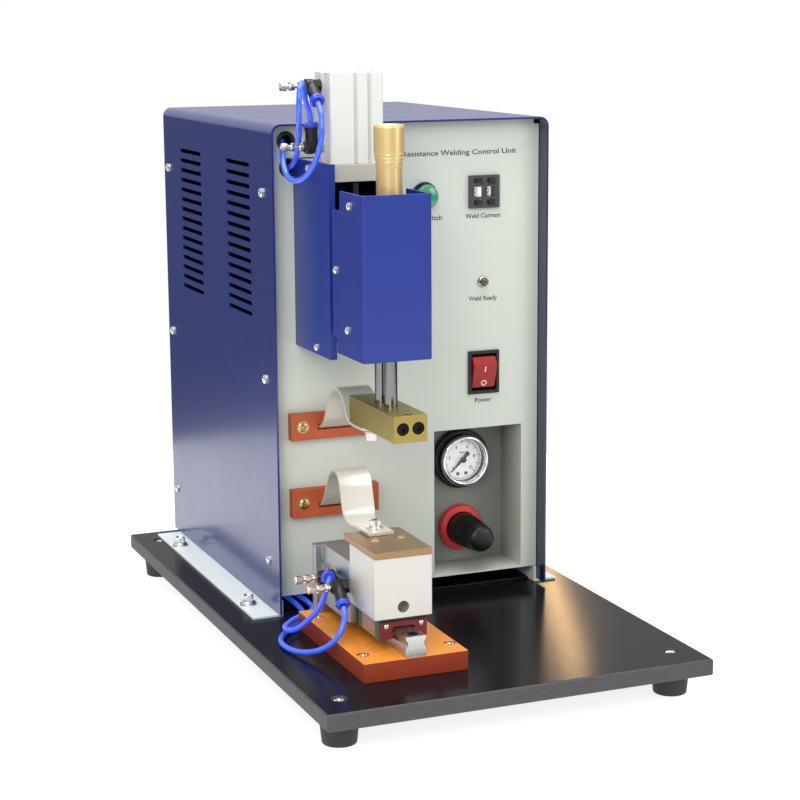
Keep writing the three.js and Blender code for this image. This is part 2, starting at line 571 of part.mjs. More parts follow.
// The force adjuster: a brass tube that screws down on the spring, with a wider knob on top.
function addForceAdjuster() {
  const { tube, knob, bottom, shoulder, top, y } = ADJUSTER;
  const profile = [[0, bottom], [tube, bottom], [tube, shoulder], [knob - 0.7, shoulder + 7],
    [knob, shoulder + 8], [knob, top - 0.8], [knob - 0.8, top], [0, top]];
  add("force_adjuster", turned("z", profile, [HEAD_X, y]), FINISH.brass);
  const turns = 6;
  const points = [];
  const [low, high, radius, wire] = [YOKE.top + 1, bottom - 1, 6, 0.9];
  for (let step = 0; step <= turns * 10; step += 1) {
    const angle = (step / 10) * Math.PI * 2;
    const height = THREE.MathUtils.lerp(low, high, step / (turns * 10));
    points.push(new THREE.Vector3(HEAD_X + radius * Math.cos(angle), y + radius * Math.sin(angle), height));
  }
  const section = new THREE.Shape();
  section.absarc(0, 0, wire, 0, Math.PI * 2);
  const path = new THREE.CatmullRomCurve3(points);
  add("force_spring", new THREE.ExtrudeGeometry(section,
    { extrudePath: path, steps: turns * 10, curveSegments: 3 }), FINISH.steel);
}

// Two hard chromed rods joined by a yoke at their top. They end in the electrode bar.
function addGuideRods() {
  const low = BAR.top - 8;
  const front = bar("z", low + GAP, YOKE.bottom + 1, ROD.radius, [HEAD_X, ROD.frontY], 20);
  const rear = bar("z", low + GAP, YOKE.bottom + 1, ROD.radius, [HEAD_X, ROD.rearY], 20);
  const yoke = block([HEAD_X - 11, HEAD_X + 11], [-149, -114], [YOKE.bottom, YOKE.top]);
  add("guide_rods", joined(yoke, front, rear), FINISH.chrome);
}

// The brass electrode bar and the cap that clamps an electrode against its front end with two screws.
function addElectrodeBar() {
  const { left, right, front, back, bottom, top, seam } = BAR;
  const sockets = [ROD.frontY, ROD.rearY].map((y) => bar("z", top - 8, top + 1, ROD.radius + 0.1,
    [HEAD_X, y], 20));
  const grip = bar("z", bottom - 1, top + 1, 3.2, [HEAD_X, seam], 16);
  add("electrode_bar", cut(block([left, right], [seam + GAP / 2, back], [bottom, top]), ...sockets, grip),
    FINISH.brass);
  const counterbores = [-5.5, 5.5].map((offset) => bar("y", front - 1, front + 3, 4.3, [HEAD_X + offset,
    (bottom + top) / 2], 16));
  add("electrode_clamp", cut(block([left, right], [front, seam - GAP / 2], [bottom, top]), grip,
    ...counterbores), FINISH.brass);
}

// ---------------------------------------------------------------- lower electrode slide

function addInsulators() {
  const { left, right, front, middle, back, top } = INSULATOR;
  const countersinks = (points) => points.map((centre) => turned("z",
    [[0, top - 4], [2, top - 4], [5, top + 1], [0, top + 1]], centre, 16));
  add("insulator_front", cut(block([left, right], [front, middle - GAP / 3], [BASE.top, top]),
    ...countersinks([[-90, -174], [-27, -174]])), FINISH.phenolic);
  add("insulator_rear", cut(block([left, right], [middle, back], [BASE.top, top]),
    ...countersinks([[-88.4, -82.8], [-30, -82.8]])), FINISH.phenolic);
}

// A profile rail and the runner block on it.
function addLowerSlide() {
  const { halfWidth, front, back, top } = LOWER_RAIL;
  const floor = INSULATOR.top;
  const waist = halfWidth - 1.4;
  const outline = [[-halfWidth, floor], [halfWidth, floor], [halfWidth, floor + 6], [waist, floor + 8],
    [waist, floor + 10], [halfWidth, floor + 12], [halfWidth, top], [-halfWidth, top],
      [-halfWidth, floor + 12],
    [-waist, floor + 10], [-waist, floor + 8], [-halfWidth, floor + 6]];
  add("lower_rail", pushed(polygon(outline.map(([x, z]) => [z, LOWER_X + x]).reverse()), "y", front, back),
    FINISH.steel);
  const runner = block([LOWER_X - CARRIAGE.halfWidth, LOWER_X + CARRIAGE.halfWidth],
    [CARRIAGE.front, CARRIAGE.back], [CARRIAGE.bottom, CARRIAGE.top]);
  const groove = block([LOWER_X - halfWidth - 0.4, LOWER_X + halfWidth + 0.4],
    [CARRIAGE.front - 1, CARRIAGE.back + 1], [CARRIAGE.bottom - 1, top + 0.4]);
  add("lower_carriage", cut(runner, groove), FINISH.steel);
}

// The aluminium block that carries the copper platen, with the lower cylinder's piston rod in its back.
function addLowerBlock() {
  const { left, right, front, back, top } = BLOCK;
  const body = block([left, right], [front, back], [CARRIAGE.top, top]);
  const socket = bar("y", front - 1, front + 18, 4, [-61.3, 65.4], 20);
  const screwHole = bar("z", top - 5, top + 1, 2.2, [-69.5, -145], 12);
  const pistonRod = bar("y", back - 2, LOWER_CYLINDER.back - 18, 4, [LOWER_X, 72], 16);
  add("lower_block", joined(cut(body, socket, screwHole), pistonRod), FINISH.aluminium);
  const plate = block([left, right - 0.3], [PLATEN.front, PLATEN.back], [top, PLATEN.top]);
  const countersinks = [[-69.5, -145], [-49.8, -144]].map((centre) => turned("z", [[0, PLATEN.top - 3],
    [2, PLATEN.top - 3], [4.6, PLATEN.top + 0.6], [0, PLATEN.top + 0.6]], centre, 16));
  add("lower_platen", cut(plate, ...countersinks), FINISH.copper);
}

// The lower cylinder, on its bracket behind it.
function addLowerCylinder() {
  const { left, right, front, back, bottom, top } = LOWER_CYLINDER;
  const body = block([left, right], [front, back + 1], [bottom, top]);
  const bore = bar("y", front - 1, back - 6, 4 + FIT, [LOWER_X, 72], 16);
  const grooves = [left, right].map((x) => block([x - 2.2, x + 2.2], [front - 1, back + 2], [70.5, 74.5]));
  const bracket = block([-87, -32], [back, back + 7.5], [INSULATOR.top, 85.5]);
  add("lower_cylinder", joined(cut(body, bore, ...grooves), bracket), FINISH.aluminium);
}

// ---------------------------------------------------------------- air fittings and tubes

// A flow-control valve: black banjo body on the cylinder's left face, adjusting needle, and push-in port.
function flowValve([x, y, z], port) {
  const ring = (from, to, radius) => bar("x", x - to, x - from, radius, [y, z], 16);
  const elbow = strut([x - 5, y, z], port, 4.5);
  return joined(ring(0, 12, 5), ring(11.5, 24.5, 1.5), ring(18.5, 21.5, 3.1), ring(24, 28.5, 2.9), elbow);
}

function addAirLines() {
  const upper = UPPER_CYLINDER.left - GAP / 3;
  const lower = LOWER_CYLINDER.left - GAP / 3;
  add("flow_valve_upper_top", flowValve([upper, -67, 406], [-84, -85, 396]), FINISH.blackPlastic);
  add("flow_valve_upper_bottom", flowValve([upper, -67, 365], [-83, -68, 382]), FINISH.blackPlastic);
  add("flow_valve_lower_rear", flowValve([lower, -98, 68.5], [-90, -110, 71.3]), FINISH.blackPlastic);
  add("flow_valve_lower_front", flowValve([lower, -124, 68.5], [-90, -138, 58.5]), FINISH.blackPlastic);
  const upperTop = [
    [-84.1, -85.5, 395.7], [-84.6, -89.5, 393], [-85, -94.5, 387.5], [-85.6, -97, 379],
    [-86.4, -95.5, 368], [-88, -87.5, 354.8], [-90.2, -74, 345], [-92.4, -60, 341.5],
    [-93.8, -48.5, 344.5], [-93.2, -38.5, 352], [-90.8, -29.5, 360.3], [-87.8, -21, 365.6],
    [-86.2, -13, 365.3], [-86.4, -5.5, 359.5], [-88, 0.5, 347], [-89.8, 5, 325], [-90.5, 8, 290],
    [-90.5, 10, 220], [-90.4, 12, 155], [-89.8, 16, 126], [-88.4, 24.5, 108], [-86.8, 33.6, 96],
    [-86.1, 37.5, 88.5], [-86, 38, 82.5],
  ];
  const upperBottom = [
    [-83.1, -68.1, 382.6], [-84.2, -68.8, 388], [-88, -71.8, 397], [-90.4, -75.6, 403.8],
    [-93.2, -80.6, 408.2], [-95.8, -85.6, 408.4], [-98.4, -89.7, 404.4], [-99.4, -91, 397],
    [-98.7, -88.6, 388], [-95.9, -79.5, 380], [-92.2, -69, 373.4], [-89.8, -60.5, 365.8],
    [-87.6, -50, 357.6], [-85.6, -36, 350.8], [-84.5, -24, 347.5], [-84.3, -12, 342],
    [-84.3, -4, 330], [-84.4, 1, 310], [-84.5, 5, 270], [-84.5, 8, 210], [-84.6, 14, 160],
    [-84.8, 27, 131], [-85.3, 47, 113], [-85.8, 63.5, 101], [-86, 71, 90.5], [-86, 72, 82.5],
  ];
  const lowerRear = [
    [-90, -110.7, 71.4], [-91.2, -114.3, 71.5], [-93.2, -116.7, 69.1], [-95, -117.5, 65],
    [-96.4, -116.9, 59.5], [-98.6, -113.4, 51.5], [-103, -107, 43], [-109.8, -99, 34],
    [-113.8, -90, 30.6], [-112.5, -80, 30], [-105.5, -70.5, 30], [-96, -61.5, 29.8],
    [-86, -54, 29.4], [-79, -44, 29], [-76.5, -31, 29], [-78, -12, 30], [-82.5, 4, 31.5],
    [-86, 19.6, 33],
  ];
  const lowerFront = [
    [-90, -138.5, 58.1], [-91, -142.3, 54.9], [-93, -146.2, 49.4], [-97, -147.6, 42],
    [-103, -144, 34.3], [-111, -134.5, 28], [-118, -120.5, 24.9], [-121.3, -105, 24.4],
    [-119.5, -91, 24.4], [-112.5, -78, 24.4], [-103, -67, 24.4], [-93.5, -58, 24.4],
    [-86.5, -47, 24.6], [-83.5, -34, 25.4], [-85, -16, 28.3], [-89, 2, 31], [-92, 19.6, 33],
  ];
  add("air_tube_upper_top", airTube(upperTop), FINISH.blueTube);
  add("air_tube_upper_bottom", airTube(upperBottom), FINISH.blueTube);
  add("air_tube_lower_rear", airTube(lowerRear), FINISH.blueTube);
  add("air_tube_lower_front", airTube(lowerFront), FINISH.blueTube);
}

addBase();
addMountingAngles();
addCover();
addFrontPanel();
addChassis();
addThumbwheel();
addIndicator();
addPushButton();
addRocker();
addGauge();
addRegulator();
addStraps();
addTransformer();
addInnards();
addHeadChannel();
addUpperCylinder();
addHeadCarriage();
addHeadCover();
addForceAdjuster();
addGuideRods();
addElectrodeBar();
addInsulators();
addLowerSlide();
addLowerBlock();
addLowerCylinder();
addAirLines();

export default welder;
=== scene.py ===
"""Bench-top pneumatic spot welder: its finishes, fittings and small detail, laid over the fixed frame.

Every length is in metres, in the frame's own axes: X to the right, Y to the back, Z up.
"""

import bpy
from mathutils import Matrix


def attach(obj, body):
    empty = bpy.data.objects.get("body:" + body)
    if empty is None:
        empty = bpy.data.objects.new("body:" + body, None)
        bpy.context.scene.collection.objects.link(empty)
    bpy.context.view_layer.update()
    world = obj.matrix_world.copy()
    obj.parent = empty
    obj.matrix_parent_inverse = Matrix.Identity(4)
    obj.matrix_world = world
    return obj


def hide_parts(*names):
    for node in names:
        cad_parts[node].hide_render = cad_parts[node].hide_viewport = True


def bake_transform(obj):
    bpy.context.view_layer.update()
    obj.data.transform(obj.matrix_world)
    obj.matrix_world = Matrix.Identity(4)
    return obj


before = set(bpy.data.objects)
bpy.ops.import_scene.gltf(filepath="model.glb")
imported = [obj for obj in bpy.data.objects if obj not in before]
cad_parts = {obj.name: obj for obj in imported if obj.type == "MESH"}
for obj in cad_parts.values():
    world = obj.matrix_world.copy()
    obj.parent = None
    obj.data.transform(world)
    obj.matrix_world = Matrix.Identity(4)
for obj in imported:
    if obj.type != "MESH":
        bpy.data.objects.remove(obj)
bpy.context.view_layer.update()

import logging
import math
from abc import ABC, abstractmethod
from dataclasses import dataclass, field
from enum import Enum

import bmesh
import bpy
import numpy as np
from mathutils import Matrix, Vector

MM = 0.001
DATUM = 7.5  # millimetres from the bench up to the level that heights are given from
LOG = logging.getLogger("spot_welder")
Triple = tuple[float, float, float]


# ------------------------------------------------------------------ shader arithmetic


class Wire:
    """The output of a node. Sums written with it in Python add Math nodes."""

    def __init__(self, tree: "ShaderTree", socket: bpy.types.NodeSocket) -> None:
        """Keeps the socket and the tree that it belongs to."""
        self.tree = tree
        self.socket = socket

    def _sum(self, operation: str, first: "Wire | float", second: "Wire | float") -> "Wire":
        """One Math node on two values."""
        return self.tree.node("ShaderNodeMath", {"operation": operation}, {0: first, 1: second})

    def __add__(self, other: "Wire | float") -> "Wire":
        """Self plus other."""
        return self._sum("ADD", self, other)

    def __radd__(self, other: float) -> "Wire":
        """Other plus self."""
        return self._sum("ADD", other, self)

    def __sub__(self, other: "Wire | float") -> "Wire":
        """Self minus other."""
        return self._sum("SUBTRACT", self, other)

    def __rsub__(self, other: float) -> "Wire":
        """Other minus self."""
        return self._sum("SUBTRACT", other, self)

    def __mul__(self, other: "Wire | float") -> "Wire":
        """Self times other."""
        return self._sum("MULTIPLY", self, other)

    def __rmul__(self, other: float) -> "Wire":
        """Other times self."""
        return self._sum("MULTIPLY", other, self)

    def __truediv__(self, other: "Wire | float") -> "Wire":
        """Self over other."""
        return self._sum("DIVIDE", self, other)

    def __gt__(self, other: "Wire | float") -> "Wire":
        """1 where self is above other, and 0 elsewhere."""
        return self._sum("GREATER_THAN", self, other)


class ShaderTree:
    """A material's nodes, added one at a time."""

    def __init__(self, owner: bpy.types.Material | bpy.types.World) -> None:
        """Empties the owner's node tree."""
        owner.use_nodes = True
        self.nodes = owner.node_tree.nodes
        self.links = owner.node_tree.links
        self.nodes.clear()

    def node(self, kind: str, settings: dict | None = None, inputs: dict | None = None,
             output: int | str = 0) -> Wire:
        """Adds a node.

        Args:
            kind: The node's type.
            settings: Its properties, set first. "stops" are a ramp's (place, colour) pairs.
            inputs: Values or wires of its sockets, by name or number.
            output: Which output comes back.

        Returns:
            The wanted output.
        """
        made = self.nodes.new(kind)
        for name, value in (settings or {}).items():
            if name == "stops":
                self._set_stops(made.color_ramp.elements, value)
            else:
                setattr(made, name, value)
        for key, value in (inputs or {}).items():
            if isinstance(value, Wire):
                self.links.new(value.socket, made.inputs[key])
            else:
                made.inputs[key].default_value = value
        return Wire(self, made.outputs[output])

    @staticmethod
    def _set_stops(elements: bpy.types.ColorRampElements, stops: list[tuple]) -> None:
        """Gives a ramp its stops, first and last in the two that it starts with."""
        elements[0].position, elements[0].color = stops[0]
        elements[1].position, elements[1].color = stops[-1]
        for place, colour in stops[1:-1]:
            elements.new(place).color = colour

    def mix(self, share: "Wire | float", first: "Wire | tuple", second: "Wire | tuple") -> Wire:
        """A colour between two colours: the first where share is 0, and the second where it is 1."""
        settings = {"data_type": "RGBA", "blend_type": "MIX"}
        return self.node("ShaderNodeMix", settings, {0: share, 6: first, 7: second}, output=2)

    def place(self, scale: Triple = (1, 1, 1)) -> Wire:
        """The point on the piece, in its own frame, stretched by a scale on each axis."""
        point = self.node("ShaderNodeTexCoord", output="Object")
        return self.node("ShaderNodeMapping", None, {"Vector": point, "Scale": scale})

    def noise(self, scale: float, stretch: Triple = (1, 1, 1), detail: float = 2.0,
              roughness: float = 0.5) -> Wire:
        """A soft random value from 0 to 1, with scale lumps to the metre."""
        inputs = {"Vector": self.place(stretch), "Scale": scale, "Detail": detail, "Roughness": roughness}
        return self.node("ShaderNodeTexNoise", None, inputs)

    def facing(self, axis: "Axis") -> Wire:
        """How far the surface faces along an axis of the frame, from -1 to 1."""
        normal = self.node("ShaderNodeNewGeometry", output="Normal")
        return self.node("ShaderNodeSeparateXYZ", None, {0: normal}, output=axis.value)

    def bump(self, height: Wire, strength: float, distance: float) -> Wire:
        """A normal that is roughened by a height."""
        return self.node("ShaderNodeBump", None,
                         {"Height": height, "Strength": strength, "Distance": distance})

    def surface(self, **sockets: "Wire | float | tuple") -> None:
        """A Principled surface on the output, with its sockets named with underscores for spaces."""
        inputs = {name.replace("_", " "): value for name, value in sockets.items()}
        shader = self.node("ShaderNodeBsdfPrincipled", None, inputs)
        self.node_output("ShaderNodeOutputMaterial", shader)

    def node_output(self, kind: str, shader: Wire) -> None:
        """Joins a shader to the tree's output node."""
        made = self.nodes.new(kind)
        self.links.new(shader.socket, made.inputs["Surface"])


class Axis(Enum):
    """The three axes of the frame, by the number of their part of a vector."""

    X = 0
    Y = 1
    Z = 2


def srgb(red: int, green: int, blue: int) -> tuple[float, float, float, float]:
    """A colour given as it looks on a screen, 0 to 255, turned into light values."""
    parts = np.array([red, green, blue]) / 255
    light = np.where(parts <= 0.04045, parts / 12.92, ((parts + 0.055) / 1.055) ** 2.4)
    return (*(float(part) for part in light), 1.0)


def shaded(colour: tuple, factor: float) -> tuple[float, float, float, float]:
    """A colour made lighter or darker by a factor."""
    return (*(min(1.0, part * factor) for part in colour[:3]), 1.0)


# ------------------------------------------------------------------ finishes


@dataclass(frozen=True)
class Finish(ABC):
    """A surface finish: its own name, the record's slot that it stands for, which is not used, and its
    colour.
    """

    label: str
    slot: str
    colour: tuple

    @abstractmethod
    def lay(self, tree: ShaderTree) -> None:
        """Adds the nodes of this finish to an empty tree."""

    def material(self) -> bpy.types.Material:
        """The finish as a material, made the first time that it is asked for."""
        name = f"{self.label}_finish"
        made = bpy.data.materials.get(name)
        if made is None:
            made = bpy.data.materials.new(name)
            self.lay(ShaderTree(made))
        return made


@dataclass(frozen=True)
class Dimmed:
    """Painted shade: a stretch along one axis over which a colour is darkened where shade falls, such as the
    depth of a pocket.
    """

    axis: Axis
    start: float
    end: float
    # left: the share of the colour's light that stays at the far end of the painted shade
    left: float

    def over(self, tree: ShaderTree, colour: Wire, base: tuple) -> Wire:
        """The colour, going over to a darker copy of the base between the start and the end of the stretch:
        painted shade.
        """
        point = tree.node("ShaderNodeTexCoord", output="Object")
        place = tree.node("ShaderNodeSeparateXYZ", None, {0: point}, output=self.axis.value)
        depth = tree.node("ShaderNodeClamp", None, {0: (place - self.start) / (self.end - self.start)})
        return tree.mix(depth, colour, shaded(base, self.left))


@dataclass(frozen=True)
class PowderCoat(Finish):
    """Baked paint: a shade that drifts a little, an orange-peel skin and a clear gloss over it."""

    roughness: float = 0.32
    peel: float = 0.10
    coat: float = 0.25
    drift: float = 0.05
    # painted shade over a stretch where shade falls, or None for none
    dimmed: Dimmed | None = None

    def lay(self, tree: ShaderTree) -> None:
        """Colour drifts over 100 mm, roughness over 20 mm, and the peel is about a millimetre across."""
        drift = tree.noise(9, detail=3)
        colour = tree.mix(drift, shaded(self.colour, 1 - self.drift), shaded(self.colour, 1 + self.drift))
        # Painted shade: the colour darkens over the stretch, as in a recess
        if self.dimmed is not None:
            colour = self.dimmed.over(tree, colour, self.colour)
        wear = tree.noise(55, detail=4)
        tree.surface(
            Base_Color=colour,
            Roughness=self.roughness + 0.12 * (wear - 0.5),
            Coat_Weight=self.coat,
            Coat_Roughness=0.16,
            Normal=tree.bump(tree.noise(1100, detail=2), self.peel, 0.0002),
        )


@dataclass(frozen=True)
class BlackedPlate(Finish):
    """Rolled steel plate, blackened and lacquered on its faces, with machined edges left grey."""

    edge: tuple = (0.08, 0.08, 0.085, 1.0)
    roughness: float = 0.18

    def lay(self, tree: ShaderTree) -> None:
        """The faces look up or down; the edges, and what the cutter left on them, look sideways."""
        height = tree.facing(Axis.Z)
        is_face = (height * height) > 0.8
        rolled = tree.noise(14, (1, 26, 1), detail=4)
        lacquer = tree.mix(rolled, shaded(self.colour, 0.8), shaded(self.colour, 1.35))
        milled = tree.noise(120, (1, 1, 6), detail=4)
        steel = tree.mix(milled, shaded(self.edge, 0.75), shaded(self.edge, 1.3))
        haze = tree.noise(420, (1, 5, 1), detail=3)
        rough = is_face * (self.roughness + 0.1 * (haze - 0.5)) + (1 - is_face) * 0.5
        tree.surface(
            Base_Color=tree.mix(is_face, steel, lacquer),
            Roughness=rough,
            Metallic=0.35 * (1 - is_face),
            Specular_IOR_Level=0.11,
            Normal=tree.bump(haze, 0.05, 0.0002),
        )


@dataclass(frozen=True)
class Metal(Finish):
    """Bare or plated metal, brushed or turned along one axis."""

    roughness: float = 0.28
    streak: float = 0.10
    grain: Axis | None = None
    metallic: float = 1.0

    def lay(self, tree: ShaderTree) -> None:
        """The tool marks are a noise drawn out twenty times along the grain."""
        stretch = tuple(0.05 if self.grain is not None and axis is self.grain else 1.0 for axis in Axis)
        marks = tree.noise(1500, stretch, detail=3)
        cloud = tree.noise(35, detail=3)
        tone = 0.6 * marks + 0.4 * cloud
        colour = tree.mix(tone, shaded(self.colour, 1 - self.streak), shaded(self.colour, 1 + self.streak))
        tree.surface(
            Base_Color=colour,
            Metallic=self.metallic,
            Roughness=self.roughness + self.streak * (marks - 0.5) + 0.1 * (cloud - 0.5),
            Normal=tree.bump(marks, 0.25 * self.streak, 0.0002),
        )


@dataclass(frozen=True)
class Moulding(Finish):
    """Moulded plastic or rubber with a fine matt grain."""

    roughness: float = 0.4
    grain: float = 0.08
    mottle: float = 0.08
    coat: float = 0.0
    # glow: painted light, an emission of the piece's own colour on a part that is no lamp
    glow: float = 0.0

    def lay(self, tree: ShaderTree) -> None:
        """A grain half a millimetre across and slow clouds of shade."""
        cloud = tree.noise(60, detail=4)
        fine = tree.noise(2200, detail=2)
        colour = tree.mix(cloud, shaded(self.colour, 1 - self.mottle), shaded(self.colour, 1 + self.mottle))
        tree.surface(
            Base_Color=colour,
            Roughness=self.roughness + 0.1 * (cloud - 0.5),
            Coat_Weight=self.coat,
            Coat_Roughness=0.08,
            Emission_Color=colour,
            Emission_Strength=self.glow,
            Normal=tree.bump(fine, self.grain, 0.0001),
        )


@dataclass(frozen=True)
class PressedLaminate(Finish):
    """Phenolic sheet: glossy amber faces, and sawn red-brown edges that show its layers."""

    edge: tuple = (0.25, 0.06, 0.02, 1.0)

    def lay(self, tree: ShaderTree) -> None:
        """The layers on the edges are a noise drawn out flat; the faces have a faint cloth pattern."""
        is_face = tree.facing(Axis.Z) > 0.7
        cloud = tree.noise(45, detail=5)
        weave = tree.noise(900, (1, 0.3, 1), detail=2) * tree.noise(900, (0.3, 1, 1), detail=2)
        face = tree.mix(0.6 * cloud + 0.8 * weave, shaded(self.colour, 0.72), shaded(self.colour, 1.25))
        layers = tree.noise(60, (1, 1, 34), detail=3)
        side = tree.mix(layers, shaded(self.edge, 0.6), shaded(self.edge, 1.5))
        tree.surface(
            Base_Color=tree.mix(is_face, side, face),
            Roughness=0.3 + 0.25 * layers - 0.12 * is_face,
            Normal=tree.bump(layers, 0.12, 0.0003),
        )


@dataclass(frozen=True)
class SoftTube(Finish):
    """Polyurethane air tube: a saturated skin with a faint painted glow, standing in for light through its
    wall.
    """

    def lay(self, tree: ShaderTree) -> None:
        """Painted light: a weak emission of the tube's own colour, uneven like the moulding."""
        cloud = tree.noise(140, detail=3)
        colour = tree.mix(cloud, shaded(self.colour, 0.8), shaded(self.colour, 1.25))
        tree.surface(
            Base_Color=colour,
            Roughness=0.16 + 0.12 * cloud,
            Coat_Weight=0.6,
            Coat_Roughness=0.05,
            # Painted glow in place of light passing through the tube's wall; the tube is no lamp
            Emission_Color=colour,
            Emission_Strength=0.22,
            Normal=tree.bump(tree.noise(700), 0.04, 0.0002),
        )


@dataclass(frozen=True)
class ClearCover(Finish):
    """A thin clear window, mostly see-through, that still takes a reflection."""

    alpha: float = 0.04

    def lay(self, tree: ShaderTree) -> None:
        """Nearly clear, with a faint smear of roughness."""
        smear = tree.noise(90, detail=3)
        tree.surface(Base_Color=self.colour, Roughness=0.02 + 0.05 * smear, Alpha=self.alpha, Coat_Weight=0.5)


@dataclass(frozen=True)
class LitFloor(Finish):
    """A pale studio floor that glows evenly, so that shadows on it stay faint."""

    def lay(self, tree: ShaderTree) -> None:
        """A matt surface with hardly any mottle."""
        cloud = tree.noise(3)
        colour = tree.mix(cloud, shaded(self.colour, 0.99), shaded(self.colour, 1.01))
        tree.surface(Base_Color=colour, Roughness=0.9, Emission_Color=(1, 1, 1, 1), Emission_Strength=0.85)


HEAD_BLUE = PowderCoat("head_blue_paint", "blue_paint", srgb(22, 46, 129), roughness=0.36, coat=0.15)
# The panel paint darkens with depth into the gauge pocket, from -20 to 13 mm: painted shade.
PANEL_PAINT = PowderCoat("panel_paint", "panel_paint", srgb(198, 204, 193), roughness=0.46, coat=0.0,
                         drift=0.02, dimmed=Dimmed(Axis.Y, -0.020, 0.013, 0.42))
# The case paint darkens towards the inside of its right wall, from 103 to 106 mm: painted shade.
CASE_PAINT = PowderCoat("case_paint", "blue_paint", srgb(14, 36, 105), coat=0.6,
                        dimmed=Dimmed(Axis.X, 0.103, 0.106, 0.4))
LACQUERED = BlackedPlate("black_lacquered_plate", "black_lacquered_plate", (0.006, 0.0055, 0.007, 1.0))
FOOT_RUBBER = Moulding("foot_rubber", "foot_rubber", srgb(38, 38, 38), roughness=0.6, grain=0.2)
SATIN_ALUMINIUM = Metal("milled_aluminium", "milled_aluminium", srgb(212, 210, 203), roughness=0.4,
                        streak=0.07, grain=Axis.Y, metallic=0.75)
PALE_ANGLE = Metal("plated_angles", "milled_aluminium", srgb(226, 235, 233), roughness=0.5, streak=0.03,
                   grain=Axis.Y, metallic=0.15)
DARK_STEEL = Metal("chassis_steel", "inner_steel", srgb(52, 52, 56), roughness=0.5, grain=Axis.X)
BRUSHED_CYLINDER = Metal("brushed_cylinder", "anodised_aluminium", srgb(178, 180, 182), roughness=0.4,
                         streak=0.14, grain=Axis.Y)
WHITE_ANODISED = Metal("anodised_aluminium", "anodised_aluminium", srgb(214, 215, 211), roughness=0.5,
                       streak=0.03, grain=Axis.Z, metallic=0.15)
GROUND_STEEL = Metal("ground_steel", "ground_steel", srgb(200, 200, 198), roughness=0.26, streak=0.1,
                     grain=Axis.Y)
ROD_CHROME = Metal("polished_rods", "chromed_steel", srgb(130, 132, 130), roughness=0.14, streak=0.03)
CHROME = Metal("chromed_steel", "chromed_steel", srgb(236, 236, 238), roughness=0.09, streak=0.03)
NICKEL = Metal("nickel_plate", "ground_steel", srgb(214, 208, 196), roughness=0.17, streak=0.08)
ZINC = Metal("zinc_screws", "ground_steel", srgb(222, 222, 222), roughness=0.2, streak=0.1)
BLACK_OXIDE = Metal("black_oxide", "black_anodised", srgb(40, 38, 38), roughness=0.34, streak=0.2)
BRASS = Metal("brass_bar", "brass", srgb(170, 155, 84), roughness=0.36, streak=0.08, grain=Axis.Y)
GOLD_BRASS = Metal("turned_brass", "brass", srgb(238, 208, 146), roughness=0.3, streak=0.1, metallic=0.64)
BRASS_SCREWS = Metal("brass_screws", "brass", srgb(206, 180, 126), roughness=0.24, streak=0.12)
COPPER = Metal("copper_platen", "copper", srgb(158, 130, 92), roughness=0.32, streak=0.18, grain=Axis.X,
               metallic=0.85)
COIL_COPPER = Metal("coil_copper", "copper", srgb(184, 115, 76), roughness=0.35)
TINNED = Metal("tinned_copper", "tinned_copper", srgb(220, 218, 206), roughness=0.34, streak=0.06,
               grain=Axis.Y, metallic=0.5)
PHENOLIC = PressedLaminate("phenolic", "phenolic", srgb(222, 140, 46), edge=srgb(138, 50, 20))
TERRACOTTA = Moulding("terracotta_phenolic", "terracotta_phenolic", srgb(172, 78, 34), roughness=0.46,
                      mottle=0.12)
BLACK_PLASTIC = Moulding("black_plastic", "black_plastic", srgb(12, 12, 13), roughness=0.4)
GREY_PLASTIC = Moulding("grey_plastic", "grey_plastic", srgb(92, 92, 94), roughness=0.42, grain=0.14)
DARK_GREY = Moulding("dark_grey_plastic", "grey_plastic", srgb(58, 58, 58), roughness=0.42, grain=0.14)
RED_PLASTIC = Moulding("red_plastic", "red_plastic", srgb(214, 52, 50), roughness=0.3, coat=0.3)
SEAL_RED = Moulding("seal_red", "red_plastic", srgb(110, 24, 30), roughness=0.5)
RED_GLOSS = Moulding("red_paddle", "red_plastic", srgb(156, 14, 12), roughness=0.42, grain=0.02, coat=0.08)
GREEN_PLASTIC = Moulding("green_plastic", "green_plastic", srgb(36, 150, 104), roughness=0.2, grain=0.02,
                         coat=0.6)
CAP_GREEN = Moulding("runner_green", "green_plastic", srgb(40, 96, 60), roughness=0.4)
WHITE_PLASTIC = Moulding("white_plastic", "white_plastic", srgb(236, 236, 232), roughness=0.4)
# The dial and the digit wheels glow a little though they are no lamp: painted light.
DIAL_WHITE_PAINTED_GLOW = Moulding("dial_white_painted_glow", "white_plastic", srgb(236, 236, 240), roughness=0.4, glow=0.28)
DIGIT_WHITE_PAINTED_GLOW = Moulding("digit_white_painted_glow", "white_plastic", srgb(240, 240, 238), roughness=0.4, glow=0.55)
COLLAR_BLUE = Moulding("collar_blue", "tube_polyurethane", srgb(38, 66, 205), roughness=0.25, coat=0.4)
AIR_TUBE = SoftTube("tube_polyurethane", "tube_polyurethane", srgb(56, 92, 230))
BLACK_ANODISED = Metal("black_anodised", "black_anodised", srgb(30, 30, 32), roughness=0.4, metallic=0.4)
LAMINATIONS = Metal("core_laminations", "core_laminations", srgb(84, 84, 88), roughness=0.5, grain=Axis.X)
BOARD = Moulding("circuit_board", "circuit_board", srgb(30, 104, 58), roughness=0.5)
CLEAR = ClearCover("gauge_window", "white_plastic", (1.0, 1.0, 1.0, 1.0))
INK = Moulding("printed_ink", "black_plastic", srgb(70, 72, 70), roughness=0.6)
DARK_INK = Moulding("dial_ink", "black_plastic", srgb(24, 24, 26), roughness=0.6)


# ------------------------------------------------------------------ surfaces


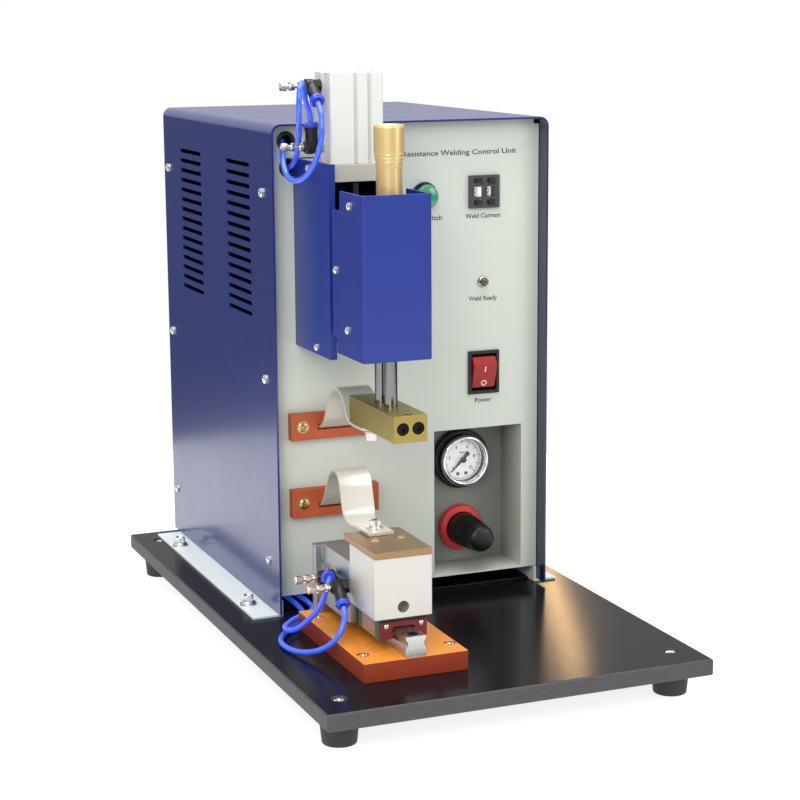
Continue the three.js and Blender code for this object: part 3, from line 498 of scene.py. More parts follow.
@dataclass(frozen=True)
class Place:
    """Where a surface is drawn: an origin, and the directions of its width, its height and its axis."""

    origin: Triple
    width: Triple
    height: Triple

    @property
    def basis(self) -> np.ndarray:
        """The three directions as rows: width, height and the axis square to both."""
        width, height = np.array(self.width, float), np.array(self.height, float)
        return np.array([width, height, np.cross(width, height)])

    def points(self, local: np.ndarray) -> np.ndarray:
        """Points given along width, height and axis, moved to the frame."""
        return np.asarray(local, float) @ self.basis + np.array(self.origin, float)

    def matrix(self) -> Matrix:
        """The same move as a matrix."""
        turned = Matrix([list(row) for row in self.basis]).transposed().to_4x4()
        return Matrix.Translation(Vector(self.origin)) @ turned


class Facing(Enum):
    """The six ways that a fitting can face: its width and height directions, seen from in front of it."""

    LEFT = ((0, -1, 0), (0, 0, 1))
    RIGHT = ((0, 1, 0), (0, 0, 1))
    FRONT = ((1, 0, 0), (0, 0, 1))
    BACK = ((-1, 0, 0), (0, 0, 1))
    UP = ((1, 0, 0), (0, 1, 0))
    DOWN = ((1, 0, 0), (0, -1, 0))

    def at(self, x: float, y: float, z: float) -> Place:
        """A place that faces this way, at a point given in millimetres, with its height above the datum."""
        return Place((x * MM, y * MM, (z + DATUM) * MM), *self.value)


def raised(points: np.ndarray) -> np.ndarray:
    """Points in millimetres with heights above the datum, turned into metres above the bench."""
    return (np.asarray(points, float) + np.array([0.0, 0.0, DATUM])) * MM


def place_along(start: np.ndarray, end: np.ndarray) -> Place:
    """A place at start whose axis points at end."""
    axis = (end - start) / np.linalg.norm(end - start)
    helper = np.array([0.0, 0.0, 1.0]) if abs(axis[2]) < 0.9 else np.array([1.0, 0.0, 0.0])
    width = np.cross(helper, axis)
    width /= np.linalg.norm(width)
    return Place(tuple(start), tuple(width), tuple(np.cross(axis, width)))


def eased(points: list[tuple[float, float]], radius: float, steps: int = 4) -> np.ndarray:
    """A profile with its corners rounded.

    Each inner corner becomes a short parabola, from a point before it to a point after it: (1-t)^2 before
    + 2t(1-t) corner + t^2 after. The reach is the radius, or less than half of a short side.

    Args:
        points: The profile's corners, as (radius, height) pairs in millimetres.
        radius: How far from a corner the rounding starts, in millimetres.
        steps: Points on each rounding.

    Returns:
        The points of the rounded profile, in millimetres.
    """
    corners = np.array(points, float)
    before, middle, after = corners[:-2], corners[1:-1], corners[2:]
    reach_in = np.minimum(radius / np.maximum(np.linalg.norm(middle - before, axis=1), 1e-9), 0.45)[:, None]
    reach_out = np.minimum(radius / np.maximum(np.linalg.norm(after - middle, axis=1), 1e-9), 0.45)[:, None]
    start = middle + (before - middle) * reach_in
    end = middle + (after - middle) * reach_out
    t = np.linspace(0, 1, steps)[None, :, None]
    arcs = (1 - t) ** 2 * start[:, None] + 2 * t * (1 - t) * middle[:, None] + t**2 * end[:, None]
    return np.vstack([corners[:1], arcs.reshape(-1, 2), corners[-1:]])


def faceted(radius: np.ndarray, share: np.ndarray, steps: int, sides: int = 6) -> np.ndarray:
    """Radii of rings that are part circle and part polygon.

    A polygon's radius at an angle a is R cos(pi/n) / cos(a mod (2 pi/n) - pi/n); share mixes it with R.
    """
    angle = np.arange(steps) * (2 * math.pi / steps)
    wedge = 2 * math.pi / sides
    polygon = math.cos(wedge / 2) / np.cos(np.mod(angle, wedge) - wedge / 2)
    radius, share = np.asarray(radius, float)[:, None], np.asarray(share, float)[:, None]
    return radius * (1 - share + share * polygon[None, :])


def ribbed(radius: np.ndarray, depth: np.ndarray, steps: int, ribs: int) -> np.ndarray:
    """Radii of rings with ribs: R - depth (0.5 - 0.5 cos(ribs a)) at an angle a."""
    angle = np.arange(steps) * (2 * math.pi / steps)
    wave = 0.5 - 0.5 * np.cos(ribs * angle)
    return np.asarray(radius, float)[:, None] - np.asarray(depth, float)[:, None] * wave[None, :]


def smooth_step(value: np.ndarray, low: float, high: float) -> np.ndarray:
    """0 below low, 1 above high, and 3t^2 - 2t^3 between them."""
    t = np.clip((value - low) / (high - low), 0, 1)
    return t * t * (3 - 2 * t)


@dataclass(frozen=True)
class Route:
    """A smooth line through given points.

    Each stretch is a cubic whose end slopes come from its neighbours, weighted by the square root of the
    distances between the points.
    """

    points: np.ndarray

    def handles(self) -> tuple[np.ndarray, np.ndarray]:
        """The two inner control points of each stretch."""
        laid = self.points
        whole = np.vstack([2 * laid[0] - laid[1], laid, 2 * laid[-1] - laid[-2]])
        a, b, c, d = whole[:-3], whole[1:-2], whole[2:-1], whole[3:]
        pairs = ((a, b), (b, c), (c, d))
        before, along, after = (np.sqrt(np.linalg.norm(q - p, axis=1))[:, None] for p, q in pairs)
        leaving = along * ((b - a) / before - (c - a) / (before + along) + (c - b) / along)
        arriving = along * ((c - b) / along - (d - b) / (along + after) + (d - c) / after)
        return b + leaving / 3, c - arriving / 3

    def sampled(self, per_stretch: int = 12) -> np.ndarray:
        """Points along the line: (1-t)^3 b + 3t(1-t)^2 h + 3t^2(1-t) k + t^3 c on each stretch."""
        first, second = self.handles()
        start, end = self.points[:-1], self.points[1:]
        t = np.linspace(0, 1, per_stretch, endpoint=False)[None, :, None]
        line = (
            (1 - t) ** 3 * start[:, None]
            + 3 * t * (1 - t) ** 2 * first[:, None]
            + 3 * t**2 * (1 - t) * second[:, None]
            + t**3 * end[:, None]
        )
        return np.vstack([line.reshape(-1, self.points.shape[1]), self.points[-1:]])

    def length(self) -> float:
        """The line's length."""
        return float(np.linalg.norm(np.diff(self.sampled(40), axis=0), axis=1).sum())


@dataclass
class Shape:
    """The surfaces of one piece, gathered before they go into a mesh."""

    corners: list = field(default_factory=list)
    faces: list = field(default_factory=list)
    count: int = 0

    def _add(self, points: np.ndarray, faces: list) -> "Shape":
        """Adds points and the faces on them."""
        self.corners.append(points.reshape(-1, 3))
        self.faces.extend([[corner + self.count for corner in face] for face in faces])
        self.count += len(self.corners[-1])
        return self

    def grid(self, points: np.ndarray, wrap_rows: bool = False, wrap_columns: bool = True) -> "Shape":
        """A surface of two parameters: a rows-by-columns grid of points joined by four-sided faces.

        Args:
            points: The grid, as an array of rows, columns and three.
            wrap_rows: The last row joins the first.
            wrap_columns: The last column joins the first.

        Returns:
            The shape itself.
        """
        rows, columns = points.shape[:2]
        index = np.arange(rows * columns).reshape(rows, columns)
        down = np.roll(index, -1, axis=0) if wrap_rows else index[1:]
        here = index if wrap_rows else index[:-1]
        right, down_right = np.roll(here, -1, axis=1), np.roll(down, -1, axis=1)
        quads = np.stack([here, right, down_right, down], axis=-1)
        quads = quads if wrap_columns else quads[:, :-1]
        return self._add(points, quads.reshape(-1, 4).tolist())

    def lathe(self, place: Place, radius: np.ndarray, height: np.ndarray, steps: int = 64,
              wrap: bool = False) -> "Shape":
        """A turned surface: point (i, a) lies at radius r_i(a) from the axis, at angle a and height h_i(a).

        Args:
            place: The axis and the origin.
            radius: One radius to a ring, or one to a ring and a step.
            height: The same for the height.
            steps: Steps round a ring.
            wrap: The last ring joins the first, as on a hollow ring.

        Returns:
            The shape itself.
        """
        angle = np.arange(steps) * (2 * math.pi / steps)
        radius, height = np.asarray(radius, float), np.asarray(height, float)
        radius = radius[:, None] if radius.ndim == 1 else radius
        height = height[:, None] if height.ndim == 1 else height
        radius, height = np.broadcast_arrays(radius + 0 * angle[None, :], height + 0 * angle[None, :])
        local = np.stack([radius * np.cos(angle), radius * np.sin(angle), height], axis=-1)
        return self.grid(place.points(local * MM), wrap_rows=wrap)

    def turned(self, place: Place, profile: list[tuple[float, float]], ease: float = 0.3, steps: int = 64,
               wrap: bool = False) -> "Shape":
        """A turned piece from a profile in millimetres with eased corners."""
        points = eased([*profile, profile[0], profile[1]], ease)[1:-1] if wrap else eased(profile, ease)
        return self.lathe(place, points[:, 0], points[:, 1], steps, wrap)

    def prism(self, place: Place, outline: np.ndarray, low: float, high: float) -> "Shape":
        """A flat outline carried along the axis, from low to high, with both ends closed. Millimetres."""
        flat = np.asarray(outline, float)
        ends = [np.column_stack([flat, np.full(len(flat), level)]) for level in (low, high)]
        count = len(flat)
        around = np.arange(count)
        after = np.roll(around, -1)
        sides = np.stack([around, after, after + count, around + count], axis=-1).tolist()
        caps = [around[::-1].tolist(), (around + count).tolist()]
        return self._add(place.points(np.vstack(ends) * MM), sides + caps)

    def box(self, low: Triple, high: Triple) -> "Shape":
        """A block between two corners, in millimetres, with heights above the datum."""
        (x0, y0, z0), (x1, y1, z1) = low, high
        return self.prism(Facing.UP.at(0, 0, 0), [(x0, y0), (x1, y0), (x1, y1), (x0, y1)], z0, z1)

    def ribbon(self, sections: np.ndarray) -> "Shape":
        """A bar with a four-sided section carried along a path, closed at both ends: rows are sections."""
        first = self.count
        self.grid(sections)
        last = first + 4 * (len(sections) - 1)
        self.faces.extend([[first + k for k in (3, 2, 1, 0)], [last + k for k in (0, 1, 2, 3)]])
        return self

    def build(self, name: str, finish: Finish, body: str | None, edge: float = 0.0, levels: int = 2,
              stands_for: tuple[str, ...] = ()) -> bpy.types.Object:
        """Makes the piece.

        Args:
            name: The piece's name.
            finish: Its finish.
            body: The body that it rides on, or None where it bends between two.
            edge: The width of the bevel on its sharp edges, in millimetres.
            levels: How many segments the bevel has.
            stands_for: The nodes that it takes the place of.

        Returns:
            The new object.
        """
        mesh = bpy.data.meshes.new(name)
        mesh.from_pydata(np.vstack(self.corners).tolist(), [], self.faces)
        tidy_mesh(mesh)
        piece = bpy.data.objects.new(name, mesh)
        bpy.context.scene.collection.objects.link(piece)
        return finished(piece, finish, body, edge, levels, stands_for)


def tidy_mesh(mesh: bpy.types.Mesh) -> None:
    """Merges the doubles of a mesh, turns its faces outwards and shades it smooth."""
    work = bmesh.new()
    work.from_mesh(mesh)
    bmesh.ops.remove_doubles(work, verts=work.verts, dist=1e-6)
    bmesh.ops.dissolve_degenerate(work, edges=work.edges, dist=1e-7)
    bmesh.ops.recalc_face_normals(work, faces=work.faces)
    work.to_mesh(mesh)
    work.free()
    mesh.shade_smooth()
    mesh.set_sharp_from_angle(angle=math.radians(38))


def finished(piece: bpy.types.Object, finish: Finish, body: str | None, edge: float = 0.0, levels: int = 2,
             stands_for: tuple[str, ...] = ()) -> bpy.types.Object:
    """Gives a new piece its finish, bevel, body and the nodes that it stands for."""
    piece.data.materials.clear()
    piece.data.materials.append(finish.material())
    if edge:
        bevel = piece.modifiers.new("edges", "BEVEL")
        bevel.width, bevel.segments, bevel.limit_method = edge * MM, levels, "ANGLE"
        bevel.angle_limit = math.radians(40)
    if piece.type == "MESH":
        piece.modifiers.new("shading", "WEIGHTED_NORMAL").keep_sharp = True
    if body:
        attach(piece, body)
    if stands_for:
        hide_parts(*stands_for)
    LOG.info("made %s in %s", piece.name, finish.label)
    return piece


def smooth_shading() -> bpy.types.NodeTree:
    """The geometry group that shades a fixed node smooth, with edges above fifty degrees kept sharp."""
    group = bpy.data.node_groups.get("smooth_shading")
    if group is None:
        group = bpy.data.node_groups.new("smooth_shading", "GeometryNodeTree")
        group.interface.new_socket("Geometry", in_out="INPUT", socket_type="NodeSocketGeometry")
        group.interface.new_socket("Geometry", in_out="OUTPUT", socket_type="NodeSocketGeometry")
        entry, leave = group.nodes.new("NodeGroupInput"), group.nodes.new("NodeGroupOutput")
        shade = group.nodes.new("GeometryNodeSetShadeSmooth")
        angle = group.nodes.new("GeometryNodeInputMeshEdgeAngle")
        steep = group.nodes.new("FunctionNodeCompare")
        steep.inputs[1].default_value = math.radians(50)
        crease = group.nodes.new("GeometryNodeSetShadeSmooth")
        crease.domain = "EDGE"
        crease.inputs["Shade Smooth"].default_value = False
        group.links.new(entry.outputs[0], shade.inputs["Geometry"])
        group.links.new(angle.outputs["Unsigned Angle"], steep.inputs[0])
        group.links.new(steep.outputs[0], crease.inputs["Selection"])
        group.links.new(shade.outputs[0], crease.inputs["Geometry"])
        group.links.new(crease.outputs[0], leave.inputs[0])
    return group


def dress(finish: Finish, *nodes: str, edge: float = 0.35, clamped: bool = True) -> None:
    """Gives fixed nodes a finish and soft edges, through modifiers that leave their meshes alone.

    Args:
        finish: The finish for all of them.
        nodes: Their names.
        edge: The width of the bevel on their sharp edges, in millimetres.
        clamped: Narrows the bevel wherever two edges are closer than its width.
    """
    for name in nodes:
        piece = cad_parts[name]
        for slot in piece.material_slots:
            slot.material = finish.material()
        piece.modifiers.new("seams", "WELD").merge_threshold = 1e-5
        flat = piece.modifiers.new("flats", "DECIMATE")
        flat.decimate_type, flat.angle_limit = "DISSOLVE", math.radians(1)
        bevel = piece.modifiers.new("edges", "BEVEL")
        bevel.width, bevel.segments, bevel.limit_method = edge * MM, 2, "ANGLE"
        bevel.angle_limit, bevel.use_clamp_overlap = math.radians(40), clamped
        piece.modifiers.new("smooth", "NODES").node_group = smooth_shading()
        piece.modifiers.new("shading", "WEIGHTED_NORMAL").keep_sharp = True
        LOG.info("dressed %s in %s", name, finish.label)


@dataclass(frozen=True)
class Caption:
    """Printed characters: their text, the place of their middle, their height and, if wanted, their width."""

    text: str
    place: Place
    size: float
    width: float | None = None
    weight: float = 0.0

    def draw(self, gathered: bmesh.types.BMesh) -> None:
        """Adds the characters to a mesh as flat shapes, stretched sideways to their width."""
        curve = bpy.data.curves.new("word", "FONT")
        curve.body, curve.size, curve.extrude = self.text, self.size * MM, 0.00004
        curve.align_x, curve.align_y, curve.resolution_u = "CENTER", "CENTER", 4
        curve.offset = self.weight * MM
        helper = bpy.data.objects.new("word", curve)
        bpy.context.scene.collection.objects.link(helper)
        seen = helper.evaluated_get(bpy.context.evaluated_depsgraph_get())
        mesh = bpy.data.meshes.new_from_object(seen)
        if self.width:
            across = [corner.co.x for corner in mesh.vertices]
            mesh.transform(Matrix.Diagonal((self.width * MM / (max(across) - min(across)), 1, 1, 1)))
        mesh.transform(self.place.matrix())
        gathered.from_mesh(mesh)
        bpy.data.objects.remove(helper)
        bpy.data.curves.remove(curve)
        bpy.data.meshes.remove(mesh)


def lettering(name: str, captions: list[Caption], finish: Finish, body: str) -> bpy.types.Object:
    """One piece with all the captions of one group, riding on one body."""
    gathered = bmesh.new()
    for caption in captions:
        caption.draw(gathered)
    mesh = bpy.data.meshes.new(name)
    gathered.to_mesh(mesh)
    gathered.free()
    piece = bpy.data.objects.new(name, mesh)
    bpy.context.scene.collection.objects.link(piece)
    return finished(piece, finish, body)


# ------------------------------------------------------------------ screws


class Head(Enum):
    """The kinds of screw head on the machine."""

    PAN = "pan"
    COUNTERSUNK = "countersunk"
    CAP = "cap"
    FLANGE = "flange"


@dataclass(frozen=True)
class Screw:
    """A screw head of one kind: its radius and its height above the surface, in millimetres."""

    head: Head
    radius: float
    height: float

    def draw(self, shape: Shape, place: Place) -> None:
        """Adds the head to a shape, standing on a place."""
        if self.head in (Head.PAN, Head.COUNTERSUNK):
            self._cross(shape, place)
        elif self.head is Head.CAP:
            self._socket(shape, place)
        else:
            self._hexagon(shape, place)

    def _cross(self, shape: Shape, place: Place) -> None:
        """A head with a cross recess. Its top is h(r) = H sqrt(1 - (0.9 r/R)^2) for a pan head and flat for a
        countersunk one, less a recess whose arms are 0.3 R wide and fade out at 0.62 R."""
        steps = 72
        angle = np.arange(steps) * (2 * math.pi / steps)
        share = np.append(np.linspace(0, 0.8, 17), [0.88, 0.95, 1.0])
        across = np.abs(share[:, None] * np.cos(angle))
        along = np.abs(share[:, None] * np.sin(angle))
        arm = (1 - smooth_step(across, 0.1, 0.2)) * (1 - smooth_step(along, 0.5, 0.66))
        other = (1 - smooth_step(along, 0.1, 0.2)) * (1 - smooth_step(across, 0.5, 0.66))
        dome = np.sqrt(1 - (0.9 * share) ** 2) if self.head is Head.PAN else 1 - 0.06 * share**6
        top = self.height * dome[:, None] - 0.42 * self.radius * np.maximum(arm, other)
        radius = np.concatenate([self.radius * share, [self.radius, 0]])
        height = np.vstack([top, np.full((1, steps), -0.4), np.full((1, steps), -0.4)])
        shape.lathe(place, radius, height, steps)

    def _socket(self, shape: Shape, place: Place) -> None:
        """A knurled cap with a hexagon socket: the rings inside the socket are six-sided."""
        radius, height = self.radius, self.height
        rings = [(0, 0.42, 1), (0.50, 0.42, 1), (0.53, 0.5, 1), (0.55, 0.96, 1), (0.62, 1, 0), (0.86, 1, 0),
                 (0.95, 0.97, 0), (1, 0.88, 0), (1, 0.1, 0), (0.97, 0, 0), (0, 0, 0)]
        table = np.array(rings)
        round_part = faceted(table[:, 0] * radius, table[:, 2], 96)
        knurl = np.where((table[:, 1] > 0.05) & (table[:, 1] < 0.9) & (table[:, 0] > 0.99), 0.16, 0.0)
        knurled = round_part - ribbed(np.zeros(len(table)), -knurl, 96, 32)
        shape.lathe(place, knurled, table[:, 1] * height, 96)

    def _hexagon(self, shape: Shape, place: Place) -> None:
        """A bolt head with a flange: round washer face below, six-sided above, with a dished top."""
        radius, height = self.radius, self.height
        rings = [(0, 0.86, 0), (0.42, 0.86, 0), (0.50, 0.97, 0), (0.60, 1, 0.5), (0.68, 0.93, 1),
                 (0.72, 0.9, 1), (0.72, 0.34, 1), (0.74, 0.3, 1), (0.8, 0.26, 0), (0.97, 0.2, 0),
                 (1, 0.16, 0), (1, 0, 0), (0, 0, 0)]
        table = np.array(rings)
        shape.lathe(place, faceted(table[:, 0] * radius, table[:, 2], 96), table[:, 1] * height, 96)


def screws(name: str, screw: Screw, places: list[Place], finish: Finish, body: str) -> bpy.types.Object:
    """All the screws of one kind that hold one assembly, as one piece."""
    shape = Shape()
    for place in places:
        screw.draw(shape, place)
    return shape.build(name, finish, body)


def washers(name: str, inner: float, outer: float, thickness: float, places: list[Place], finish: Finish,
            body: str) -> bpy.types.Object:
    """Flat rings under screws: a closed four-sided profile turned round each place."""
    shape = Shape()
    for place in places:
        shape.turned(place, [(inner, 0), (outer, 0), (outer, thickness), (inner, thickness)], 0.25, 48,
                     wrap=True)
    return shape.build(name, finish, body)


# ------------------------------------------------------------------ camera, floor and light


@dataclass(frozen=True)
class Studio:
    """The camera, the pale floor, the sky and the soft lights.

    Angles are in degrees and lengths in metres, except for the floor's centre, which is in millimetres.
    """

    lens: float = 89.55
    turn: float = 22.258
    tilt: float = 11.143
    roll: float = 0.399
    eye: Triple = (-0.546385, -1.357236, 0.465263)
    floor_radius: float = 1.32
    floor_centre: tuple[float, float] = (-350.0, -600.0)
    lamp_colour: Triple = (1.0, 0.62, 0.27)

    def set_camera(self) -> None:
        """Places the camera: forward is (sin turn cos tilt, cos turn cos tilt, -sin tilt), and the picture is
        then rolled round that line."""
        turn, tilt, roll = (math.radians(angle) for angle in (self.turn, self.tilt, self.roll))
        forward = Vector((math.sin(turn) * math.cos(tilt), math.cos(turn) * math.cos(tilt), -math.sin(tilt)))
        level = Vector((math.cos(turn), -math.sin(turn), 0))
        down = forward.cross(level)
        right = level * math.cos(roll) + down * math.sin(roll)
        down = down * math.cos(roll) - level * math.sin(roll)
        data = bpy.data.cameras.new("camera")
        data.lens, data.sensor_width, data.clip_start, data.clip_end = self.lens, 36, 0.05, 30
        camera = bpy.data.objects.new("camera", data)
        columns = Matrix((right, -down, -forward)).transposed()
        camera.matrix_world = Matrix.Translation(Vector(self.eye)) @ columns.to_4x4()
        bpy.context.scene.collection.objects.link(camera)
        bpy.context.scene.camera = camera

    def lay_floor(self) -> None:
        """A pale disc under the machine: radius and angle are the two parameters of its grid."""
        reach = np.linspace(0, self.floor_radius / MM, 12)
        shape = Shape().lathe(Facing.UP.at(*self.floor_centre, -DATUM - 0.2), reach, np.zeros(12), 96)
        mesh = bpy.data.meshes.new("floor")
        mesh.from_pydata(np.vstack(shape.corners).tolist(), [], shape.faces)
        tidy_mesh(mesh)
        floor = bpy.data.objects.new("floor", mesh)
        bpy.context.scene.collection.objects.link(floor)
        pale = LitFloor("pale_floor", "floor", (0.3, 0.3, 0.3, 1.0))
        mesh.materials.append(pale.material())

    def light_sky(self) -> None:
        """An even white backdrop for the camera, and for everything else a sky that is bright above and dim
        towards and below the horizon."""
        world = bpy.data.worlds.new("studio")
        bpy.context.scene.world = world
        tree = ShaderTree(world)
        point = tree.node("ShaderNodeTexCoord", output="Generated")
        height = tree.node("ShaderNodeSeparateXYZ", None, {0: point}, output=Axis.Z.value)
        stops = [
            (0.0, (0.10, 0.10, 0.11, 1)),
            (0.49, (0.16, 0.16, 0.18, 1)),
            (0.535, (0.75, 0.75, 0.78, 1)),
            (1.0, (0.95, 0.95, 0.96, 1)),
        ]
        sky = tree.node("ShaderNodeValToRGB", {"stops": stops}, {0: 0.5 * height + 0.5})
        around = tree.node("ShaderNodeBackground", None, {"Color": sky, "Strength": 0.8})
        backdrop = tree.node("ShaderNodeBackground", None, {"Color": (1, 1, 1, 1), "Strength": 1.0})
        seen = tree.node("ShaderNodeLightPath", output="Is Camera Ray")
        both = tree.node("ShaderNodeMixShader", None, {0: seen, 1: around, 2: backdrop})
        tree.node_output("ShaderNodeOutputWorld", both)

    @staticmethod
    def hang_light(name: str, place: Triple, aim: Triple, size: tuple[float, float], watts: float,
                   colour: Triple = (1, 1, 1), roll: float = 0.0) -> None:
        """A soft rectangular light at a place, aimed at a point."""
        data = bpy.data.lights.new(name, "AREA")
        data.shape, data.size, data.size_y = "RECTANGLE", *size
        data.energy, data.color = watts, colour
        lamp = bpy.data.objects.new(name, data)
        direction = Vector(aim) - Vector(place)
        turned = direction.to_track_quat("-Z", "Y").to_matrix().to_4x4() @ Matrix.Rotation(roll, 4, "Z")
        lamp.matrix_world = Matrix.Translation(Vector(place)) @ turned
        lamp.visible_camera = False
        bpy.context.scene.collection.objects.link(lamp)

    def build(self) -> None:
        """Sets up everything round the machine."""
        self.set_camera()
        self.lay_floor()
        self.light_sky()
        self.hang_light("overhead", (-0.1, 0.0, 1.7), (0, 0.05, 0), (1.6, 1.6), 32)
        self.hang_light("key", (-1.1, -1.5, 1.15), (0, -0.05, 0.2), (1.0, 1.0), 19.5)
        self.hang_light("fill", (1.3, -1.5, 0.8), (0, -0.05, 0.2), (0.9, 0.9), 9)
        self.hang_light("warm_strip", (0.378, 0.45, 0.233), (0.086, -0.121, 0.03), (0.014, 0.14), 0.105,
                        self.lamp_colour, 0.32)
        bpy.context.scene.view_settings.view_transform = "Standard"


# ------------------------------------------------------------------ air lines


@dataclass(frozen=True)
class AirLine:
    """One air tube: its name's ending and its route, in millimetres."""

    name: str
    route: tuple

    def build(self, diameter: float) -> None:
        """A round tube on a smooth line through the route's points."""
        route = Route(raised(self.route))
        first, second = route.handles()
        curve = bpy.data.curves.new(f"air_line_{self.name}", "CURVE")
        curve.dimensions, curve.resolution_u = "3D", 10
        curve.bevel_depth, curve.bevel_resolution, curve.use_fill_caps = diameter / 2, 5, True
        spline = curve.splines.new("BEZIER")
        spline.bezier_points.add(len(route.points) - 1)
        for point in spline.bezier_points:
            point.handle_left_type = point.handle_right_type = "FREE"
        left = np.vstack([2 * route.points[0] - first[0], second])
        right = np.vstack([first, 2 * route.points[-1] - second[-1]])
        spline.bezier_points.foreach_set("co", route.points.ravel())
        spline.bezier_points.foreach_set("handle_left", left.ravel())
        spline.bezier_points.foreach_set("handle_right", right.ravel())
        piece = bpy.data.objects.new(f"air_line_{self.name}", curve)
        bpy.context.scene.collection.objects.link(piece)
        finished(piece, AIR_TUBE, "base", stands_for=(f"air_tube_{self.name}",))
        route.length()


@dataclass(frozen=True)
class FlowValve:
    """A flow-control valve: banjo body, needle with locknut and knob, and a push-in port with a collar."""

    name: str
    face: Triple
    port: Triple

    def build(self) -> None:
        """Turned parts along the valve's axis, which points left, and along its port."""
        x, y, z = self.face
        axis = Facing.LEFT.at(x, y, z)
        body = Shape()
        steps = 72
        base = np.array([(0, 0, 0), (5.0, 0, 0), (5.0, 0.6, 1), (5.0, 4.2, 1), (4.9, 4.5, 0.4),
                         (4.3, 4.8, 0), (4.3, 5.2, 0), (5.0, 5.6, 0), (5.0, 10.2, 0), (4.6, 10.7, 0),
                         (3.6, 11.2, 0), (3.4, 12, 0), (0, 12, 0)])
        body.lathe(axis, faceted(base[:, 0], base[:, 2], steps), base[:, 1], steps)
        elbow, port = raised((x - 6, y, z)), raised(self.port)
        reach = float(np.linalg.norm(port - elbow)) / MM
        barrel = place_along(elbow, port)
        body.turned(barrel, [(0, 0), (4.3, 0), (4.3, reach - 6.2), (4.7, reach - 5.6), (4.7, reach - 3.6),
                             (0, reach - 3.6)], 0.4, 48)
        body.build(f"flow_valve_body_{self.name}", BLACK_PLASTIC, "base",
                   stands_for=(f"flow_valve_{self.name}",))
        collar = Shape().turned(barrel, [(2.1, reach - 3.4), (5.0, reach - 3.4), (5.2, reach - 2.6),
                                         (5.2, reach - 1.4), (4.4, reach - 0.8), (4.2, reach), (2.1, reach)],
                                0.35, 48, wrap=True)
        collar.build(f"push_in_collar_{self.name}", COLLAR_BLUE, "base")
        needle = Shape()
        needle.turned(axis, [(0, 11.6), (1.6, 11.6), (1.6, 24.4), (0, 24.4)], 0.2, 32)
        nut = np.array([(0, 18.4, 0), (2.9, 18.4, 0), (3.2, 18.8, 1), (3.2, 21.2, 1), (2.9, 21.6, 0),
                        (0, 21.6, 0)])
        needle.lathe(axis, faceted(nut[:, 0], nut[:, 2], steps), nut[:, 1], steps)
        knob = np.array([(0, 23.9, 0), (2.6, 23.9, 0), (2.9, 24.3, 0.25), (2.9, 27.9, 0.25), (2.6, 28.3, 0),
                         (1.4, 28.5, 0), (1.3, 28.0, 0), (0, 28.0, 0)])
        needle.lathe(axis, ribbed(knob[:, 0], knob[:, 2], 96, 24), knob[:, 1], 96)
        needle.turned(axis, [(0, 12.6), (3.0, 12.6), (3.0, 15.4), (0, 15.4)], 0.4, 40)
        needle.build(f"valve_needle_{self.name}", NICKEL, "base")


